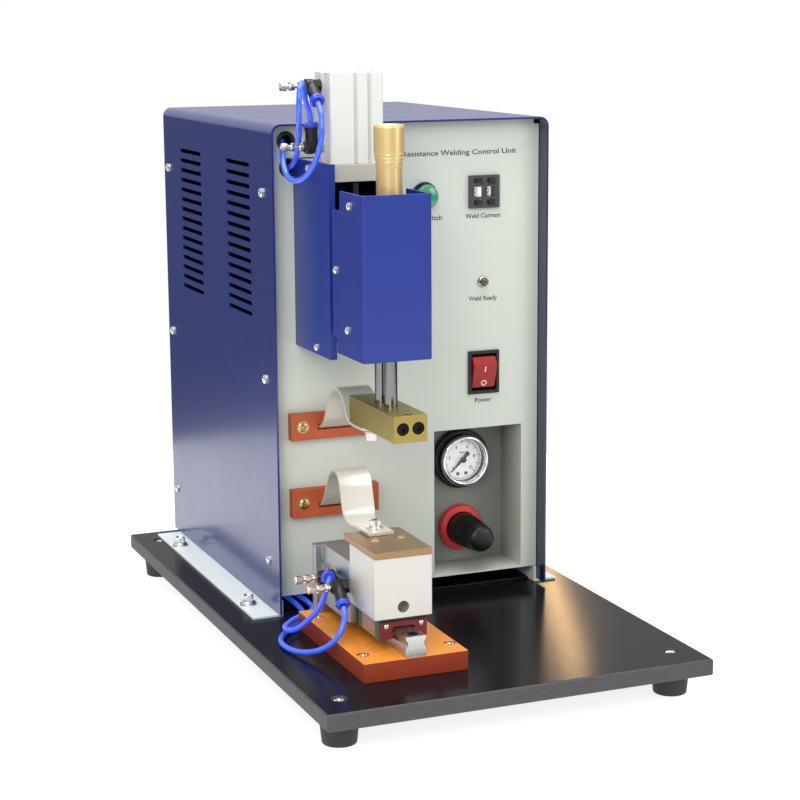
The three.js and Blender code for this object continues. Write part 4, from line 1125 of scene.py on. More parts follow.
@dataclass
class AirSystem:
    """The four air tubes, their valves and the grommets that two of them go through."""

    diameter: float = 0.004
    lines: tuple = (
        AirLine("upper_top", (
            (-84.1, -85.5, 395.7), (-84.6, -89.5, 393), (-85, -94.5, 387.5), (-85.6, -97, 379),
            (-86.4, -95.5, 368), (-88, -87.5, 354.8), (-90.2, -74, 345), (-92.4, -60, 341.5),
            (-93.8, -48.5, 344.5), (-93.2, -38.5, 352), (-90.8, -29.5, 360.3), (-87.8, -21, 365.6),
            (-86.2, -13, 365.3), (-86.4, -5.5, 359.5), (-88, 0.5, 347), (-89.8, 5, 325), (-90.5, 8, 290),
            (-90.5, 10, 220), (-90.4, 12, 155), (-89.8, 16, 126), (-88.4, 24.5, 108), (-86.8, 33.6, 96),
            (-86.1, 37.5, 88.5), (-86, 38, 82.5))),
        AirLine("upper_bottom", (
            (-83.1, -68.1, 382.6), (-84.2, -68.8, 388), (-88, -71.8, 397), (-90.4, -75.6, 403.8),
            (-93.2, -80.6, 408.2), (-95.8, -85.6, 408.4), (-98.4, -89.7, 404.4), (-99.4, -91, 397),
            (-98.7, -88.6, 388), (-95.9, -79.5, 380), (-92.2, -69, 373.4), (-89.8, -60.5, 365.8),
            (-87.6, -50, 357.6), (-85.6, -36, 350.8), (-84.5, -24, 347.5), (-84.3, -12, 342),
            (-84.3, -4, 330), (-84.4, 1, 310), (-84.5, 5, 270), (-84.5, 8, 210), (-84.6, 14, 160),
            (-84.8, 27, 131), (-85.3, 47, 113), (-85.8, 63.5, 101), (-86, 71, 90.5), (-86, 72, 82.5))),
        AirLine("lower_rear", (
            (-90, -110.7, 71.4), (-91.2, -114.3, 71.5), (-93.2, -116.7, 69.1), (-95, -117.5, 65),
            (-96.4, -116.9, 59.5), (-98.6, -113.4, 51.5), (-103, -107, 43), (-109.8, -99, 34),
            (-113.8, -90, 30.6), (-112.5, -80, 30), (-105.5, -70.5, 30), (-96, -61.5, 29.8), (-86, -54, 29.4),
            (-79, -44, 29), (-76.5, -31, 29), (-78, -12, 30), (-82.5, 4, 31.5), (-86, 19.6, 33))),
        AirLine("lower_front", (
            (-90, -138.5, 58.1), (-91, -142.3, 54.9), (-93, -146.2, 49.4), (-97, -147.6, 42),
            (-103, -144, 34.3), (-111, -134.5, 28), (-118, -120.5, 24.9), (-121.3, -105, 24.4),
            (-119.5, -91, 24.4), (-112.5, -78, 24.4), (-103, -67, 24.4), (-93.5, -58, 24.4),
            (-86.5, -47, 24.6), (-83.5, -34, 25.4), (-85, -16, 28.3), (-89, 2, 31), (-92, 19.6, 33))),
    )
    valves: tuple = (
        FlowValve("upper_top", (-76.1, -67, 406), (-84, -85, 396)),
        FlowValve("upper_bottom", (-76.1, -67, 365), (-83, -68, 382)),
        FlowValve("lower_rear", (-82.1, -98, 68.5), (-90, -110, 71.3)),
        FlowValve("lower_front", (-82.1, -124, 68.5), (-90, -138, 58.5)),
    )
    grommets: tuple = ((-86, 366.5), (-84.5, 347.7))

    def build_lines(self) -> None:
        """The free tubes, which come before everything else."""
        for line in self.lines:
            line.build(self.diameter)

    def build_fittings(self) -> None:
        """The valves, and a grooved rubber ring in each hole of the panel."""
        for valve in self.valves:
            valve.build()
        rings = Shape()
        for x, z in self.grommets:
            rings.turned(Facing.FRONT.at(x, -23, z), [(3.9, -3), (5.8, -3), (5.8, 0.05), (6.7, 0.05),
                                                      (6.9, 0.9), (6.2, 1.8), (5.0, 1.9), (3.9, 1.0)], 0.5,
                                                      56, wrap=True)
        rings.build("panel_grommets", BLACK_PLASTIC, "base")


# ------------------------------------------------------------------ base and casing


@dataclass
class Foundation:
    """The base plate on its feet, and the angles that hold the casing down. Millimetres."""

    foot_x: float = 122.0
    foot_y: float = 213.0
    top: float = 22.0
    bolts_y: tuple = (181.0, 0.7)

    def build(self) -> None:
        """Dresses the plate and angles, and makes the feet, screws, bolts and washers."""
        dress(LACQUERED, "base_plate", edge=0.25)
        dress(PALE_ANGLE, "mounting_angle_left", "mounting_angle_right", clamped=False)
        corners = [(side, depth) for side in (-1, 1) for depth in (-1, 1)]
        for side, depth in corners:
            words = ("left" if side < 0 else "right", "front" if depth < 0 else "rear")
            self._foot(side * self.foot_x, depth * self.foot_y, f"{words[1]}_{words[0]}")
        places = [Facing.UP.at(side * self.foot_x, depth * self.foot_y, self.top - 3)
                  for side, depth in corners]
        screws("plate_screws", Screw(Head.PAN, 4.9, 2.4), places, ZINC, "base")
        seats = [Facing.UP.at(x, y, self.top + 2) for x in (-113.5, 121.5) for y in self.bolts_y]
        washers("angle_washers", 2.8, 6.4, 1.1, seats, ZINC, "base")
        lifted = [Facing.UP.at(x, y, self.top + 3) for x in (-113.5, 121.5) for y in self.bolts_y]
        screws("angle_bolts", Screw(Head.FLANGE, 5.6, 6.6), lifted, ZINC, "base")

    def _foot(self, x: float, y: float, name: str) -> None:
        """A tapered rubber foot with a rounded rim and a hollow for its screw."""
        low = -DATUM
        profile = [(0, low + 4), (4.6, low + 4), (5.0, low + 0.5), (6.2, low), (11.0, low), (11.6, low + 0.6),
                   (13.2, 9.0), (13.2, 10), (0, 10)]
        shape = Shape().turned(Facing.UP.at(x, y, 0), profile, 0.9, 72)
        shape.build(f"foot_{name}", FOOT_RUBBER, "base", stands_for=(f"rubber_foot_{name}",))


@dataclass
class Casing:
    """The blue cover, the front panel, the tray behind it and what they hold. Millimetres."""

    left: float = -101.0
    right: float = 114.0
    panel: float = -23.0
    rear: float = 227.0
    side_screws: tuple = ((-13, 330), (-13, 195.5), (-13, 60.6), (228, 331), (228, 196), (228, 61))

    def build(self) -> None:
        """Dresses the sheets and the hidden works, and adds screws, captions and the rear fittings."""
        dress(CASE_PAINT, "cover", edge=0.3)
        dress(PANEL_PAINT, "front_panel", edge=0.4)
        dress(DARK_STEEL, "chassis")
        dress(LAMINATIONS, "transformer_core", edge=0.8)
        dress(COIL_COPPER, "transformer_coil", edge=0.8)
        dress(BLACK_PLASTIC, "valve_block", edge=0.8)
        dress(BOARD, "control_board")
        sides = [Facing.LEFT.at(self.left, y, z) for y, z in self.side_screws]
        sides += [Facing.RIGHT.at(self.right, y, z) for y, z in self.side_screws]
        screws("cover_screws", Screw(Head.PAN, 3.4, 2.3), sides, ZINC, "base")
        self._captions()
        self._rear_fittings()

    def _captions(self) -> None:
        """Small generic words under the controls."""
        rows = [("Resistance Welding Control Unit", 48, 354, 5.2, 91), ("Weld Current", 66.8, 307, 4.8, 28.5),
                ("Weld Ready", 66.8, 245.5, 4.8, 23), ("Start Switch", 20.5, 307, 4.8, 27),
                ("Power", 67, 168.5, 4.8, 13.5)]
        captions = [Caption(text, Facing.FRONT.at(x, self.panel - 0.03, z), size, width, 0.09)
                    for text, x, z, size, width in rows]
        lettering("panel_captions", captions, INK, "base")

    def _rear_fittings(self) -> None:
        """A power inlet with three pins, a push-in air inlet and a round socket for a pedal."""
        inlet = Shape()
        outline = np.array([(-15.5, -13), (15.5, -13), (15.5, 13), (-15.5, 13)])
        well = np.array([(-11.5, -8), (11.5, -8), (11.5, 4), (7.5, 8), (-7.5, 8), (-11.5, 4)])
        place = Facing.BACK.at(74, self.rear, 71)
        inlet.prism(place, outline, 0.05, 2.2)
        inlet.build("power_inlet_flange", BLACK_PLASTIC, "base", edge=0.6)
        collar = Shape()
        rings = np.stack([np.column_stack([well * scale, np.full(6, depth)]) for scale, depth in
                          ((1.0, 2.3), (1.0, 4.2), (0.88, 4.2), (0.88, 2.4))])
        collar.grid(place.points(rings * MM), wrap_rows=True)
        collar.build("power_inlet_collar", BLACK_PLASTIC, "base", edge=0.3)
        pins = Shape()
        for x, z in ((-6, -1.5), (6, -1.5), (0, 2.2)):
            pins.prism(Facing.BACK.at(74 - x, self.rear, 71 + z), [(-0.9, -1.9), (0.9, -1.9), (0.9, 1.9),
                                                                  (-0.9, 1.9)], 2.1, 4.0)
        pins.build("power_inlet_pins", NICKEL, "base", edge=0.2)
        air = Shape().turned(Facing.BACK.at(-60, self.rear, 70), [(2.2, -2), (7.5, -2), (7.5, 4),
                                                                  (6.2, 5), (6.2, 9), (5.2, 10), (2.2, 10)],
                                                                  0.5, 48, wrap=True)
        air.build("air_inlet", NICKEL, "base")
        pedal = Shape().turned(Facing.BACK.at(20, self.rear, 70), [(0, 1.2), (6.0, 1.2), (6.2, 5.4),
                                                                   (7.6, 6.2), (8.6, 5.0), (8.6, 2.2),
                                                                   (11, 1.8), (11, 0.05), (0, 0.05)], 0.4, 64)
        pedal.build("pedal_socket", CHROME, "base")
        contacts = Shape()
        for x, z in ((-2.6, -1.6), (2.6, -1.6), (0, 2.8)):
            contacts.turned(Facing.BACK.at(20 + x, self.rear, 70 + z), [(0, 1), (0.7, 1), (0.7, 4),
                                                                        (0, 4.3)], 0.2, 16)
        contacts.build("pedal_socket_pins", GOLD_BRASS, "base")


# ------------------------------------------------------------------ controls, gauge and regulator


@dataclass
class Controls:
    """The thumbwheel switch, the lamp, the push button and the rocker on the panel. Millimetres."""

    panel: float = -23.0
    wheel_columns: dict = field(default_factory=lambda: {"tens": 61.8, "units": 72.2})
    wheel_y: float = -12.5
    wheel_z: float = 325.0
    wheel_flat: float = 7.66
    lamp: tuple = (66.8, 258.0)
    button: tuple = (20.0, 323.4)
    rocker_x: float = 67.1

    def build(self) -> None:
        """Builds the four controls."""
        self._thumbwheel()
        self._lamp()
        self._push_button()
        self._rocker()

    def _thumbwheel(self) -> None:
        """Dark housing, black buttons, and white wheels with a painted glow and a digit on each of their ten
        flats.
        """
        dress(DARK_GREY, "thumbwheel_housing", edge=0.5)
        for column, x in self.wheel_columns.items():
            dress(DIGIT_WHITE_PAINTED_GLOW, f"digit_wheel_{column}", edge=0.2)
            dress(BLACK_PLASTIC, f"{column}_up_button", f"{column}_down_button", edge=0.6)
            words = []
            for digit in range(10):
                angle = digit * math.radians(36)
                outwards = np.array([0, -math.cos(angle), math.sin(angle)])
                centre = np.array([x, self.wheel_y, self.wheel_z]) + self.wheel_flat * outwards
                upwards = (0.0, math.sin(angle), math.cos(angle))
                words.append(Caption(str(digit), Place(tuple(raised(centre)), (1.0, 0.0, 0.0), upwards), 4.8))
            lettering(f"digits_{column}", words, DARK_INK, f"{column}_wheel")

    def _lamp(self) -> None:
        """A nickel-plated ring with a smoked, domed lens in it."""
        place = Facing.FRONT.at(self.lamp[0], self.panel, self.lamp[1])
        ring = Shape().turned(place, [(0, -12), (2.9, -12), (2.9, 0.05), (4.7, 0.05), (4.6, 1.0), (3.6, 2.4),
                                      (3.2, 2.4), (3.1, 1.6), (0, 1.6)], 0.5, 56)
        ring.build("lamp_ring", NICKEL, "base", stands_for=("indicator_lamp",))
        lens = Shape().turned(place, [(0, 1.5), (3.1, 1.5), (3.0, 2.6), (1.9, 3.8), (0, 4.1)], 0.5, 48)
        smoked = Moulding("lamp_lens", "grey_plastic", srgb(62, 64, 54), roughness=0.12, coat=1.0, grain=0.0)
        lens.build("lamp_dome", smoked, "base")

    def _push_button(self) -> None:
        """A black collar and a domed green cap."""
        place = Facing.FRONT.at(self.button[0], self.panel, self.button[1])
        collar = Shape().turned(place, [(7.7, -16), (8.1, -16), (8.1, 0.05), (10.3, 0.05), (10.3, 0.8),
                                        (9.6, 1.2), (7.7, 1.2)], 0.4, 72, wrap=True)
        collar.build("button_ring", BLACK_PLASTIC, "base", stands_for=("button_collar",))
        cap = Shape().turned(place, [(0, -8), (7.4, -8), (7.4, 4.3), (8.8, 4.5), (8.8, 5.4), (7.8, 7.0),
                                     (4.6, 8.0), (0, 8.3)], 0.8, 72)
        cap.build("button_dome", GREEN_PLASTIC, "push_button", stands_for=("button_cap",))

    def _rocker(self) -> None:
        """The frame, the glossy paddle, and its two marks on the long face."""
        dress(BLACK_PLASTIC, "rocker_bezel", edge=0.5)
        dress(RED_GLOSS, "rocker_paddle", edge=0.6)
        low, high = np.array([-23.4, 178.1]), np.array([-28.4, 196.1])
        slope = (high - low) / np.linalg.norm(high - low)
        outwards = np.array([-slope[1], slope[0]])
        bar = np.array([(-0.45, -2.1), (0.45, -2.1), (0.45, 2.1), (-0.45, 2.1)])
        marks = Shape()
        for share, is_ring in ((0.2, True), (0.8, False)):
            y, z = low + (high - low) * share + 0.02 * outwards
            place = Place(tuple(raised((self.rocker_x, y, z))), (1.0, 0.0, 0.0), (0.0, slope[0], slope[1]))
            if is_ring:
                marks.turned(place, [(1.5, 0), (2.2, 0), (2.2, 0.06), (1.5, 0.06)], 0.02, 40, wrap=True)
            else:
                marks.prism(place, bar, 0, 0.06)
        marks.build("rocker_marks", WHITE_PLASTIC, "power_paddle")


@dataclass
class Gauge:
    """The pressure gauge: case, bezel, dial, window and pointer. Millimetres, degrees from the right."""

    x: float = 63.0
    z: float = 117.0
    back: float = 12.7
    zero: float = 225.0
    sweep: float = 270.0
    divisions: int = 50

    def _at(self, depth: float) -> Place:
        """The gauge's axis, with its origin at a depth."""
        return Facing.FRONT.at(self.x, depth, self.z)

    def build(self) -> None:
        """Builds the gauge from its case outwards."""
        case = Shape().turned(self._at(self.back), [(0, -18), (4.8, -18), (4.8, 0), (22.6, 0), (23, 0.6),
                                                    (23, 4.6), (22.2, 5.5), (19.6, 5.7), (19.6, 12.6),
                                                    (16.7, 12.6), (16.7, 5.0), (0, 5.0)], 0.5, 96)
        case.build("gauge_shell", BLACK_PLASTIC, "base", stands_for=("gauge_case",))
        bezel = Shape().turned(self._at(self.back), [(16.6, 9.6), (19.9, 9.6), (20.0, 12.4), (19.2, 13.8),
                                                     (17.8, 14.2), (16.9, 13.9), (16.6, 13.2)], 0.8, 96,
                                                     wrap=True)
        bezel.build("gauge_bezel", CHROME, "base")
        dial = Shape().turned(self._at(self.back), [(0, 5.1), (16.6, 5.1), (16.6, 5.6), (0, 5.6)], 0.1, 80)
        # The dial's white carries a faint painted glow.
        dial.build("gauge_dial", DIAL_WHITE_PAINTED_GLOW, "base")
        self._scale()
        window = Shape().turned(self._at(self.back), [(0, 12.2), (16.65, 12.2), (16.65, 12.6), (0, 13.0)],
                                0.1, 80)
        window.build("gauge_glass", CLEAR, "base")
        self._pointer()

    def _scale(self) -> None:
        """A division every fiftieth of the sweep, longer at each fifth, with a number at each tenth."""
        marks = Shape()
        face = self.back - 5.62
        for step in range(self.divisions + 1):
            angle = math.radians(self.zero - self.sweep * step / self.divisions)
            long = step % 5 == 0
            out = np.array([math.cos(angle), math.sin(angle)])
            side = np.array([-out[1], out[0]]) * (0.26 if long else 0.14)
            near, far = out * (12.4 if long else 13.3), out * 15.2
            marks.prism(self._at(face), np.array([near + side, far + side, far - side, near - side]), 0, 0.05)
        marks.turned(self._at(face), [(15.2, 0), (15.45, 0), (15.45, 0.05), (15.2, 0.05)], 0.02, 96,
                     wrap=True)
        marks.build("gauge_divisions", DARK_INK, "base")
        words = []
        for number in range(0, 11, 2):
            angle = math.radians(self.zero - self.sweep * number / 10)
            x, z = self.x + 10.3 * math.cos(angle), self.z + 10.3 * math.sin(angle)
            words.append(Caption(str(number), Facing.FRONT.at(x, face - 0.01, z), 3.6, weight=0.05))
        words.append(Caption("bar", Facing.FRONT.at(self.x, face - 0.01, self.z + 5.4), 2.8, weight=0.04))
        lettering("gauge_numbers", words, DARK_INK, "base")
        pins = [Facing.FRONT.at(self.x + side * 3.4, face, self.z - 11.2) for side in (-1, 1)]
        screws("dial_screws", Screw(Head.PAN, 1.3, 0.7), pins, GREY_PLASTIC, "base")

    def _pointer(self) -> None:
        """A flat hand that tapers to its tip, with a wide tail, on a turned boss."""
        angle = math.radians(self.zero)
        out = np.array([math.cos(angle), math.sin(angle)])
        side = np.array([-out[1], out[0]])
        plan = [(-7.4, 1.6), (-5.8, 1.9), (-1.6, 1.0), (1.6, 1.1), (13.2, 0.3)]
        upper = [out * along + side * half for along, half in plan]
        lower = [out * along - side * half for along, half in reversed(plan)]
        hand = Shape().prism(self._at(5.9), np.array(upper + lower), 0, 0.5)
        hand.turned(self._at(5.0), [(0, -2), (1.1, -2), (1.1, 0.2), (2.3, 0.2), (2.3, 2.0), (1.4, 2.6),
                                    (0, 2.7)], 0.4, 48)
        hand.build("gauge_hand", BLACK_PLASTIC, "gauge_pointer", edge=0.12, stands_for=("gauge_needle",))


@dataclass
class Regulator:
    """The pressure regulator's body, red ring and ribbed knob. Millimetres."""

    x: float = 63.0
    z: float = 62.5
    ribs: int = 40

    def build(self) -> None:
        """Builds the ring and the knob, and dresses the body behind them."""
        dress(BLACK_PLASTIC, "regulator_body", edge=0.5)
        ring = Shape().turned(Facing.FRONT.at(self.x, 12.7, self.z), [(17.33, 0.05), (17.8, 0.05),
                                                                      (17.8, 4.4), (16.8, 5.9),
                                                                      (13.0, 6.6), (13.0, 5.55),
                                                                      (17.33, 5.55)], 0.4, 96, wrap=True)
        ring.build("regulator_ring", RED_PLASTIC, "base")
        rings = np.array([(0, 0, 0), (12.3, 0, 0), (12.6, 0.4, 0), (12.6, 8.2, 0), (12.3, 8.8, 0),
                          (12.3, 9.6, 0), (12.6, 10.4, 0), (12.5, 11.2, 0.1), (12.4, 12.2, 0.8),
                          (11.2, 29.2, 0.8), (11.0, 30.4, 0.1), (10.6, 31.2, 0), (10.5, 33, 0),
                          (10.3, 35.4, 0), (9.8, 37.4, 0), (8.8, 38.8, 0), (6.8, 39.7, 0), (3.6, 40.1, 0),
                          (0, 40.2, 0)])
        steps = self.ribs * 6
        shape = Shape().lathe(Facing.FRONT.at(self.x, 7, self.z),
                              ribbed(rings[:, 0], rings[:, 2], steps, self.ribs), rings[:, 1], steps)
        shape.build("regulator_grip", BLACK_PLASTIC, "regulator_handwheel", stands_for=("regulator_knob",))


# ------------------------------------------------------------------ welding circuit


@dataclass
class WeldingCircuit:
    """The two insulator bars and the two laminated straps that come through them. Millimetres."""

    left: float = -66.7
    right: float = -42.6
    thickness: float = 2.0
    leaves: int = 5
    split: float = -68.0
    bar_face: float = -30.0
    bolts_x: tuple = (-79.0, -29.5)
    bars_z: tuple = (161.25, 104.5)
    upper: tuple = ((30, 160.5), (0, 160.5), (-20, 160.5), (-32, 161.2), (-40, 167), (-46, 177), (-53, 187.5),
                    (-62, 194.2), (-72, 194), (-80, 188.5), (-84.5, 181.5), (-89.5, 176.2), (-97, 175.2),
                    (-116, 175.2))
    lower: tuple = ((30, 102.5), (0, 102.5), (-20, 102.5), (-32, 103.5), (-38.5, 110), (-43.5, 120),
                    (-50, 129.5), (-58, 134.2), (-67, 133), (-76, 126.5), (-82.5, 117.5), (-89, 109.5),
                    (-98, 106), (-110, 105.9), (-136, 105.9))

    def build(self) -> None:
        """Dresses the bars, makes the straps and puts in the screws."""
        dress(TERRACOTTA, "upper_strap_insulator", "lower_strap_insulator", edge=0.5, clamped=False)
        bolted = [(x, z) for x in self.bolts_x for z in self.bars_z]
        seats = [Facing.FRONT.at(x, self.bar_face, z) for x, z in bolted]
        washers("bar_cup_washers", 2.4, 4.5, 0.45, seats, BRASS_SCREWS, "base")
        heads = [Facing.FRONT.at(x, self.bar_face - 0.3, z) for x, z in bolted]
        screws("bar_screws", Screw(Head.PAN, 3.6, 1.5), heads, BRASS_SCREWS, "base")
        upper = Route(np.array(self.upper, float)).sampled(8)
        cut = int(np.argmax(upper[:, 0] <= self.split))
        rear = self._strap("upper_strap_rear", upper[: cut + 1], 0.0, 0.0, ("upper_strap",))
        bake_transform(rear)
        front = self._strap("upper_strap_front", upper[cut:], 0.0, 0.0, ())
        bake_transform(front)
        lower = self._strap("lower_strap_leaves", Route(np.array(self.lower, float)).sampled(8), -5.5, 3.6,
                            ("lower_strap",))
        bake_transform(lower)

    def _strap(self, name: str, line: np.ndarray, drift: float, taper: float,
               stands_for: tuple[str, ...]) -> bpy.types.Object:
        """A pack of thin leaves along a line drawn in depth and height.

        Each leaf's section is four corners at the line plus its normal times the leaf's offset, and the whole
        strap drifts sideways by drift times 3t^2 - 2t^3 between 60 and 100 mm in front of the origin. Its tab
        narrows in the same way, by the taper.
        """
        tangent = np.gradient(line, axis=0)
        tangent /= np.linalg.norm(tangent, axis=1)[:, None]
        normal = np.column_stack([-tangent[:, 1], tangent[:, 0]])
        shift = drift * smooth_step(-line[:, 0], 60, 100)
        slim = taper * smooth_step(-line[:, 0], 84, 108)
        pitch = self.thickness / self.leaves
        half = pitch / 2 - 0.018
        shape = Shape()
        for leaf in range(self.leaves):
            middle = -self.thickness / 2 + (leaf + 0.5) * pitch
            inset = 0.12 * ((leaf * 7) % 3)
            edges = [line + normal * (middle - half), line + normal * (middle + half)]
            left, right = self.left + inset + 0.6 * slim, self.right - inset - slim
            corners = [(left, edges[0]), (right, edges[0]), (right, edges[1]), (left, edges[1])]
            shape.ribbon(raised(np.stack([np.column_stack([x + shift, edge]) for x, edge in corners],
                                         axis=1)))
        return shape.build(name, TINNED, None, stands_for=stands_for)


# ------------------------------------------------------------------ welding head and electrode arm


@dataclass
class WeldingHead:
    """The fixed channel with its cylinder, and the cover and carriage that slide in it. Millimetres."""

    middle: float = -54.5
    channel_screws: tuple = ((-55.5, 349.5), (-68, 226))
    cover_screws: tuple = ((-133, 330), (-106.6, 284.7), (-128, 246.5))
    adjuster_y: float = -139.3

    def build(self) -> None:
        """Dresses the head and makes its adjuster and screws."""
        dress(HEAD_BLUE, "head_channel", "head_cover", edge=0.3)
        dress(SATIN_ALUMINIUM, "cylinder_mount_plate", edge=0.4, clamped=False)
        dress(WHITE_ANODISED, "upper_cylinder", edge=0.4, clamped=False)
        rod = Shape().turned(Facing.UP.at(self.middle, -76, 0), [(0, 330.1), (3.5, 330.1), (3.5, 388),
                                                                 (0, 388)], 0.4, 72)
        rod.build("piston_rod", ROD_CHROME, "head", stands_for=("cylinder_rod",))
        dress(BLACK_ANODISED, "head_carriage", edge=0.5)
        dress(GROUND_STEEL, "force_spring", edge=0.05)
        small = Screw(Head.PAN, 2.7, 1.9)
        fixed = [Facing.LEFT.at(-81, y, z) for y, z in self.channel_screws]
        fixed += [Facing.RIGHT.at(-28, y, z) for y, z in self.channel_screws]
        screws("channel_screws", small, fixed, ZINC, "base")
        moving = [Facing.LEFT.at(-80.5, y, z) for y, z in self.cover_screws]
        moving += [Facing.RIGHT.at(-31, y, z) for y, z in self.cover_screws]
        screws("head_cover_screws", small, moving, ZINC, "head")
        corners = [(self.middle + dx, -72 + dy) for dx in (-14.2, 14.2) for dy in (-11.5, 11.5)]
        tops = [Facing.UP.at(x - 2.2, y, 415.1) for x, y in corners]
        screws("cylinder_end_screws", Screw(Head.CAP, 2.5, 0.9), tops, ZINC, "base")
        gland = Shape().turned(Facing.DOWN.at(self.middle, -76, 342), [(3.9, -1), (7.2, -1), (7.2, 0.8),
                                                                       (6.4, 1.6), (3.9, 1.6)], 0.4, 56,
                                                                       wrap=True)
        gland.build("rod_gland", BLACK_OXIDE, "base")
        self._adjuster()

    def _adjuster(self) -> None:
        """The brass adjuster: a tube, a band of turned steps, and a knob with a rolled rim."""
        profile = [(0, 322), (8.75, 322), (8.75, 356.0), (9.1, 356.3), (9.1, 359.0), (8.95, 359.2),
                   (9.5, 359.6), (9.5, 361.4), (9.35, 361.6), (9.85, 362.0), (9.85, 363.8), (9.7, 364.0),
                   (10.4, 364.6), (10.4, 381.4), (10.15, 381.6), (10.15, 382.0), (10.3, 382.2),
                   (9.9, 383), (8.8, 383), (8.4, 382.3), (0, 382.3)]
        shape = Shape().turned(Facing.UP.at(self.middle, self.adjuster_y, 0), profile, 0.25, 96)
        shape.build("adjuster_knob", GOLD_BRASS, "adjuster", stands_for=("force_adjuster",))


@dataclass
class ElectrodeArm:
    """The chromed rods and the brass bar with its clamp. Millimetres."""

    middle: float = -54.5
    socket_z: float = 185.85

    def build(self) -> None:
        """Dresses the arm and adds its clamp screws and the bolt under it."""
        self._rods()
        dress(BRASS, "electrode_bar", "electrode_clamp", edge=0.35)
        sockets = [Facing.FRONT.at(self.middle + side * 5.5, -171.05, self.socket_z) for side in (-1, 1)]
        screws("clamp_screws", Screw(Head.CAP, 3.9, 2.2), sockets, BLACK_OXIDE, "electrode_arm")
        hanging = Facing.DOWN.at(self.middle, -102.3, 174.2)
        nut = np.array([(0, 0, 0), (4.6, 0, 0), (4.9, 0.3, 1), (4.9, 3.0, 1), (4.6, 3.3, 0), (0, 3.3, 0)])
        stack = Shape().lathe(hanging, faceted(nut[:, 0], nut[:, 2], 72), nut[:, 1], 72)
        stack.turned(hanging, [(0, 3.3), (5.3, 3.3), (5.3, 4.3), (0, 4.3)], 0.25, 56)
        Screw(Head.CAP, 4.3, 5.8).draw(stack, Facing.DOWN.at(self.middle, -102.3, 169.9))
        stack.build("strap_bolt_upper", NICKEL, "electrode_arm")

    def _rods(self) -> None:
        """The two rods and the yoke across their tops."""
        rods = Shape().box((self.middle - 11, -149, 268), (self.middle + 11, -114, 274))
        for y in (-139.3, -122.0):
            rods.turned(Facing.UP.at(self.middle, y, 0), [(0, 187.3), (4.5, 187.3), (4.5, 268.2),
                                                          (0, 268.2)], 0.3, 96)
        rods.build("arm_rods", ROD_CHROME, "electrode_arm", stands_for=("guide_rods",))


# ------------------------------------------------------------------ lower electrode


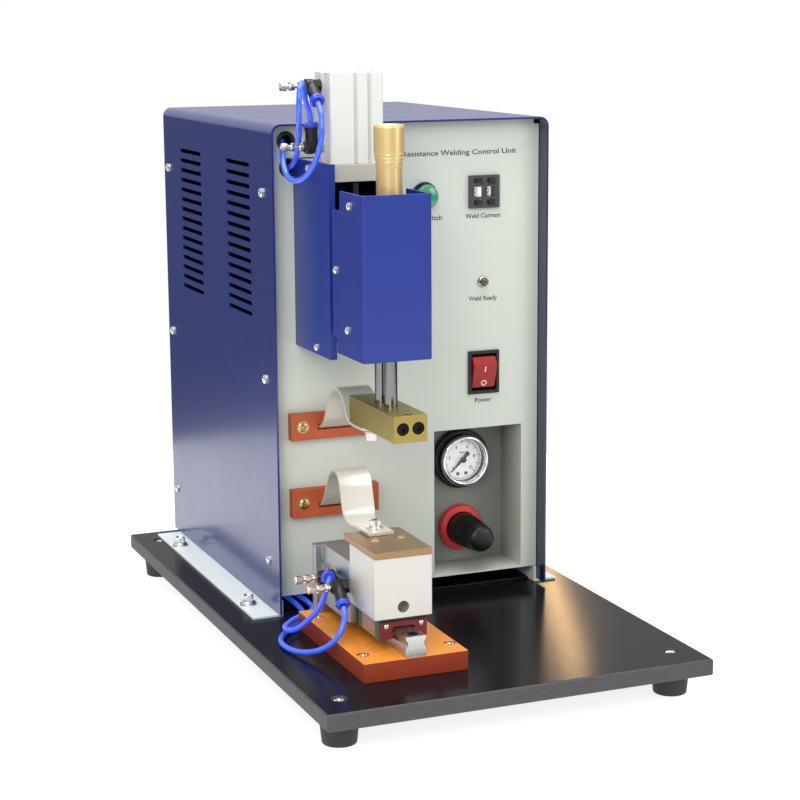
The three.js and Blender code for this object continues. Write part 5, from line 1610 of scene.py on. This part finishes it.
@dataclass
class LowerElectrode:
    """The insulating plates, rail, runner, block with its platen, and lower cylinder. Millimetres."""

    middle: float = -59.5
    plate_screws: tuple = ((-90, -174), (-27, -174), (-88.4, -82.8), (-30, -82.8))
    platen_screws: tuple = ((-69.5, -145), (-49.8, -144))
    runner: tuple = ((-17.4, 42.1), (-7.9, 42.1), (-7.9, 50.3), (7.9, 50.3), (7.9, 42.1), (17.4, 42.1),
                     (17.4, 57.8), (-17.4, 57.8))

    def build(self) -> None:
        """Dresses the fixed nodes and adds the runner's ends, the screws and the bolt."""
        dress(PHENOLIC, "insulator_front", "insulator_rear", edge=0.4, clamped=False)
        dress(GROUND_STEEL, "lower_rail", "lower_carriage", edge=0.3)
        dress(SATIN_ALUMINIUM, "lower_block", edge=0.5, clamped=False)
        dress(BRUSHED_CYLINDER, "lower_cylinder", edge=0.5, clamped=False)
        dress(COPPER, "lower_platen", edge=0.35, clamped=False)
        countersunk = [Facing.UP.at(x, y, 32.9) for x, y in self.plate_screws]
        screws("insulator_screws", Screw(Head.COUNTERSUNK, 4.4, 1.9), countersunk, NICKEL, "base")
        sunk = [Facing.UP.at(x, y, 102.3) for x, y in self.platen_screws]
        screws("platen_screws", Screw(Head.COUNTERSUNK, 4.0, 1.7), sunk, BRASS_SCREWS, "lower_slide")
        self._runner_ends()
        tab = Facing.UP.at(-60.5, -123, 106.95)
        seat = Shape().turned(tab, [(0, 0), (5.8, 0), (5.8, 1.1), (0, 1.1)], 0.3, 56)
        Screw(Head.CAP, 4.1, 4.9).draw(seat, Facing.UP.at(-60.5, -123, 108.05))
        seat.build("strap_bolt_lower", ZINC, "lower_slide")

    def _runner_ends(self) -> None:
        """A green end cap, a red seal under a black strip of painted shade for the dark gap below the block,
        and two screws at each end of the runner.
        """
        outline = np.array(self.runner)
        slim = outline * np.array([0.965, 1.0]) + np.array([0, 0.4])
        caps, seals, painted_shade_strips, ends = Shape(), Shape(), Shape(), []
        for facing, depth in ((Facing.FRONT, -170.0), (Facing.BACK, -132.0)):
            place = facing.at(self.middle, depth, 0)
            caps.prism(place, outline * np.array([1.006, 1.0]), -7.0, 0.08)
            seals.prism(place, np.minimum(slim, (99.0, 54.4)), 0.1, 1.7)
            # A black strip across the top of each end, where the gap under the block lies in shade: painted
            # shade.
            painted_shade_strips.prism(place, [(-16.4, 54.5), (16.4, 54.5), (16.4, 57.8), (-16.4, 57.8)], 0.1, 1.2)
            seat = depth + (-1.7 if facing is Facing.FRONT else 1.7)
            ends += [facing.at(self.middle + side * 12.6, seat, 51.6) for side in (-1, 1)]
        caps.build("runner_end_caps", CAP_GREEN, "lower_slide", edge=0.25)
        seals.build("runner_seals", SEAL_RED, "lower_slide", edge=0.3)
        painted_shade_strips.build("runner_painted_shade_strips", BLACK_PLASTIC, "lower_slide", edge=0.2)
        screws("runner_screws", Screw(Head.PAN, 1.7, 1.0), ends, ZINC, "lower_slide")
        hole = Facing.UP.at(self.middle, -187.0, 49.7)
        plug = Shape().turned(hole, [(0, 0.05), (3.6, 0.05), (3.6, 0.12), (0, 0.12)], 0.04, 48)
        plug.build("rail_plugs", BLACK_OXIDE, "base")


# ------------------------------------------------------------------ the whole machine


def main() -> None:
    """Builds the machine, the free tubes and the camera first."""
    logging.basicConfig(level=logging.INFO, format="%(name)s: %(message)s")
    studio = Studio()
    studio.build()
    air = AirSystem()
    air.build_lines()
    assemblies = (Foundation(), Casing(), Controls(), Gauge(), Regulator(), WeldingCircuit(), WeldingHead(),
                  ElectrodeArm(), LowerElectrode())
    for assembly in assemblies:
        LOG.info("building %s", type(assembly).__name__)
        assembly.build()
    air.build_fittings()


if __name__ == "__main__":
    main()
    bpy.context.view_layer.update()
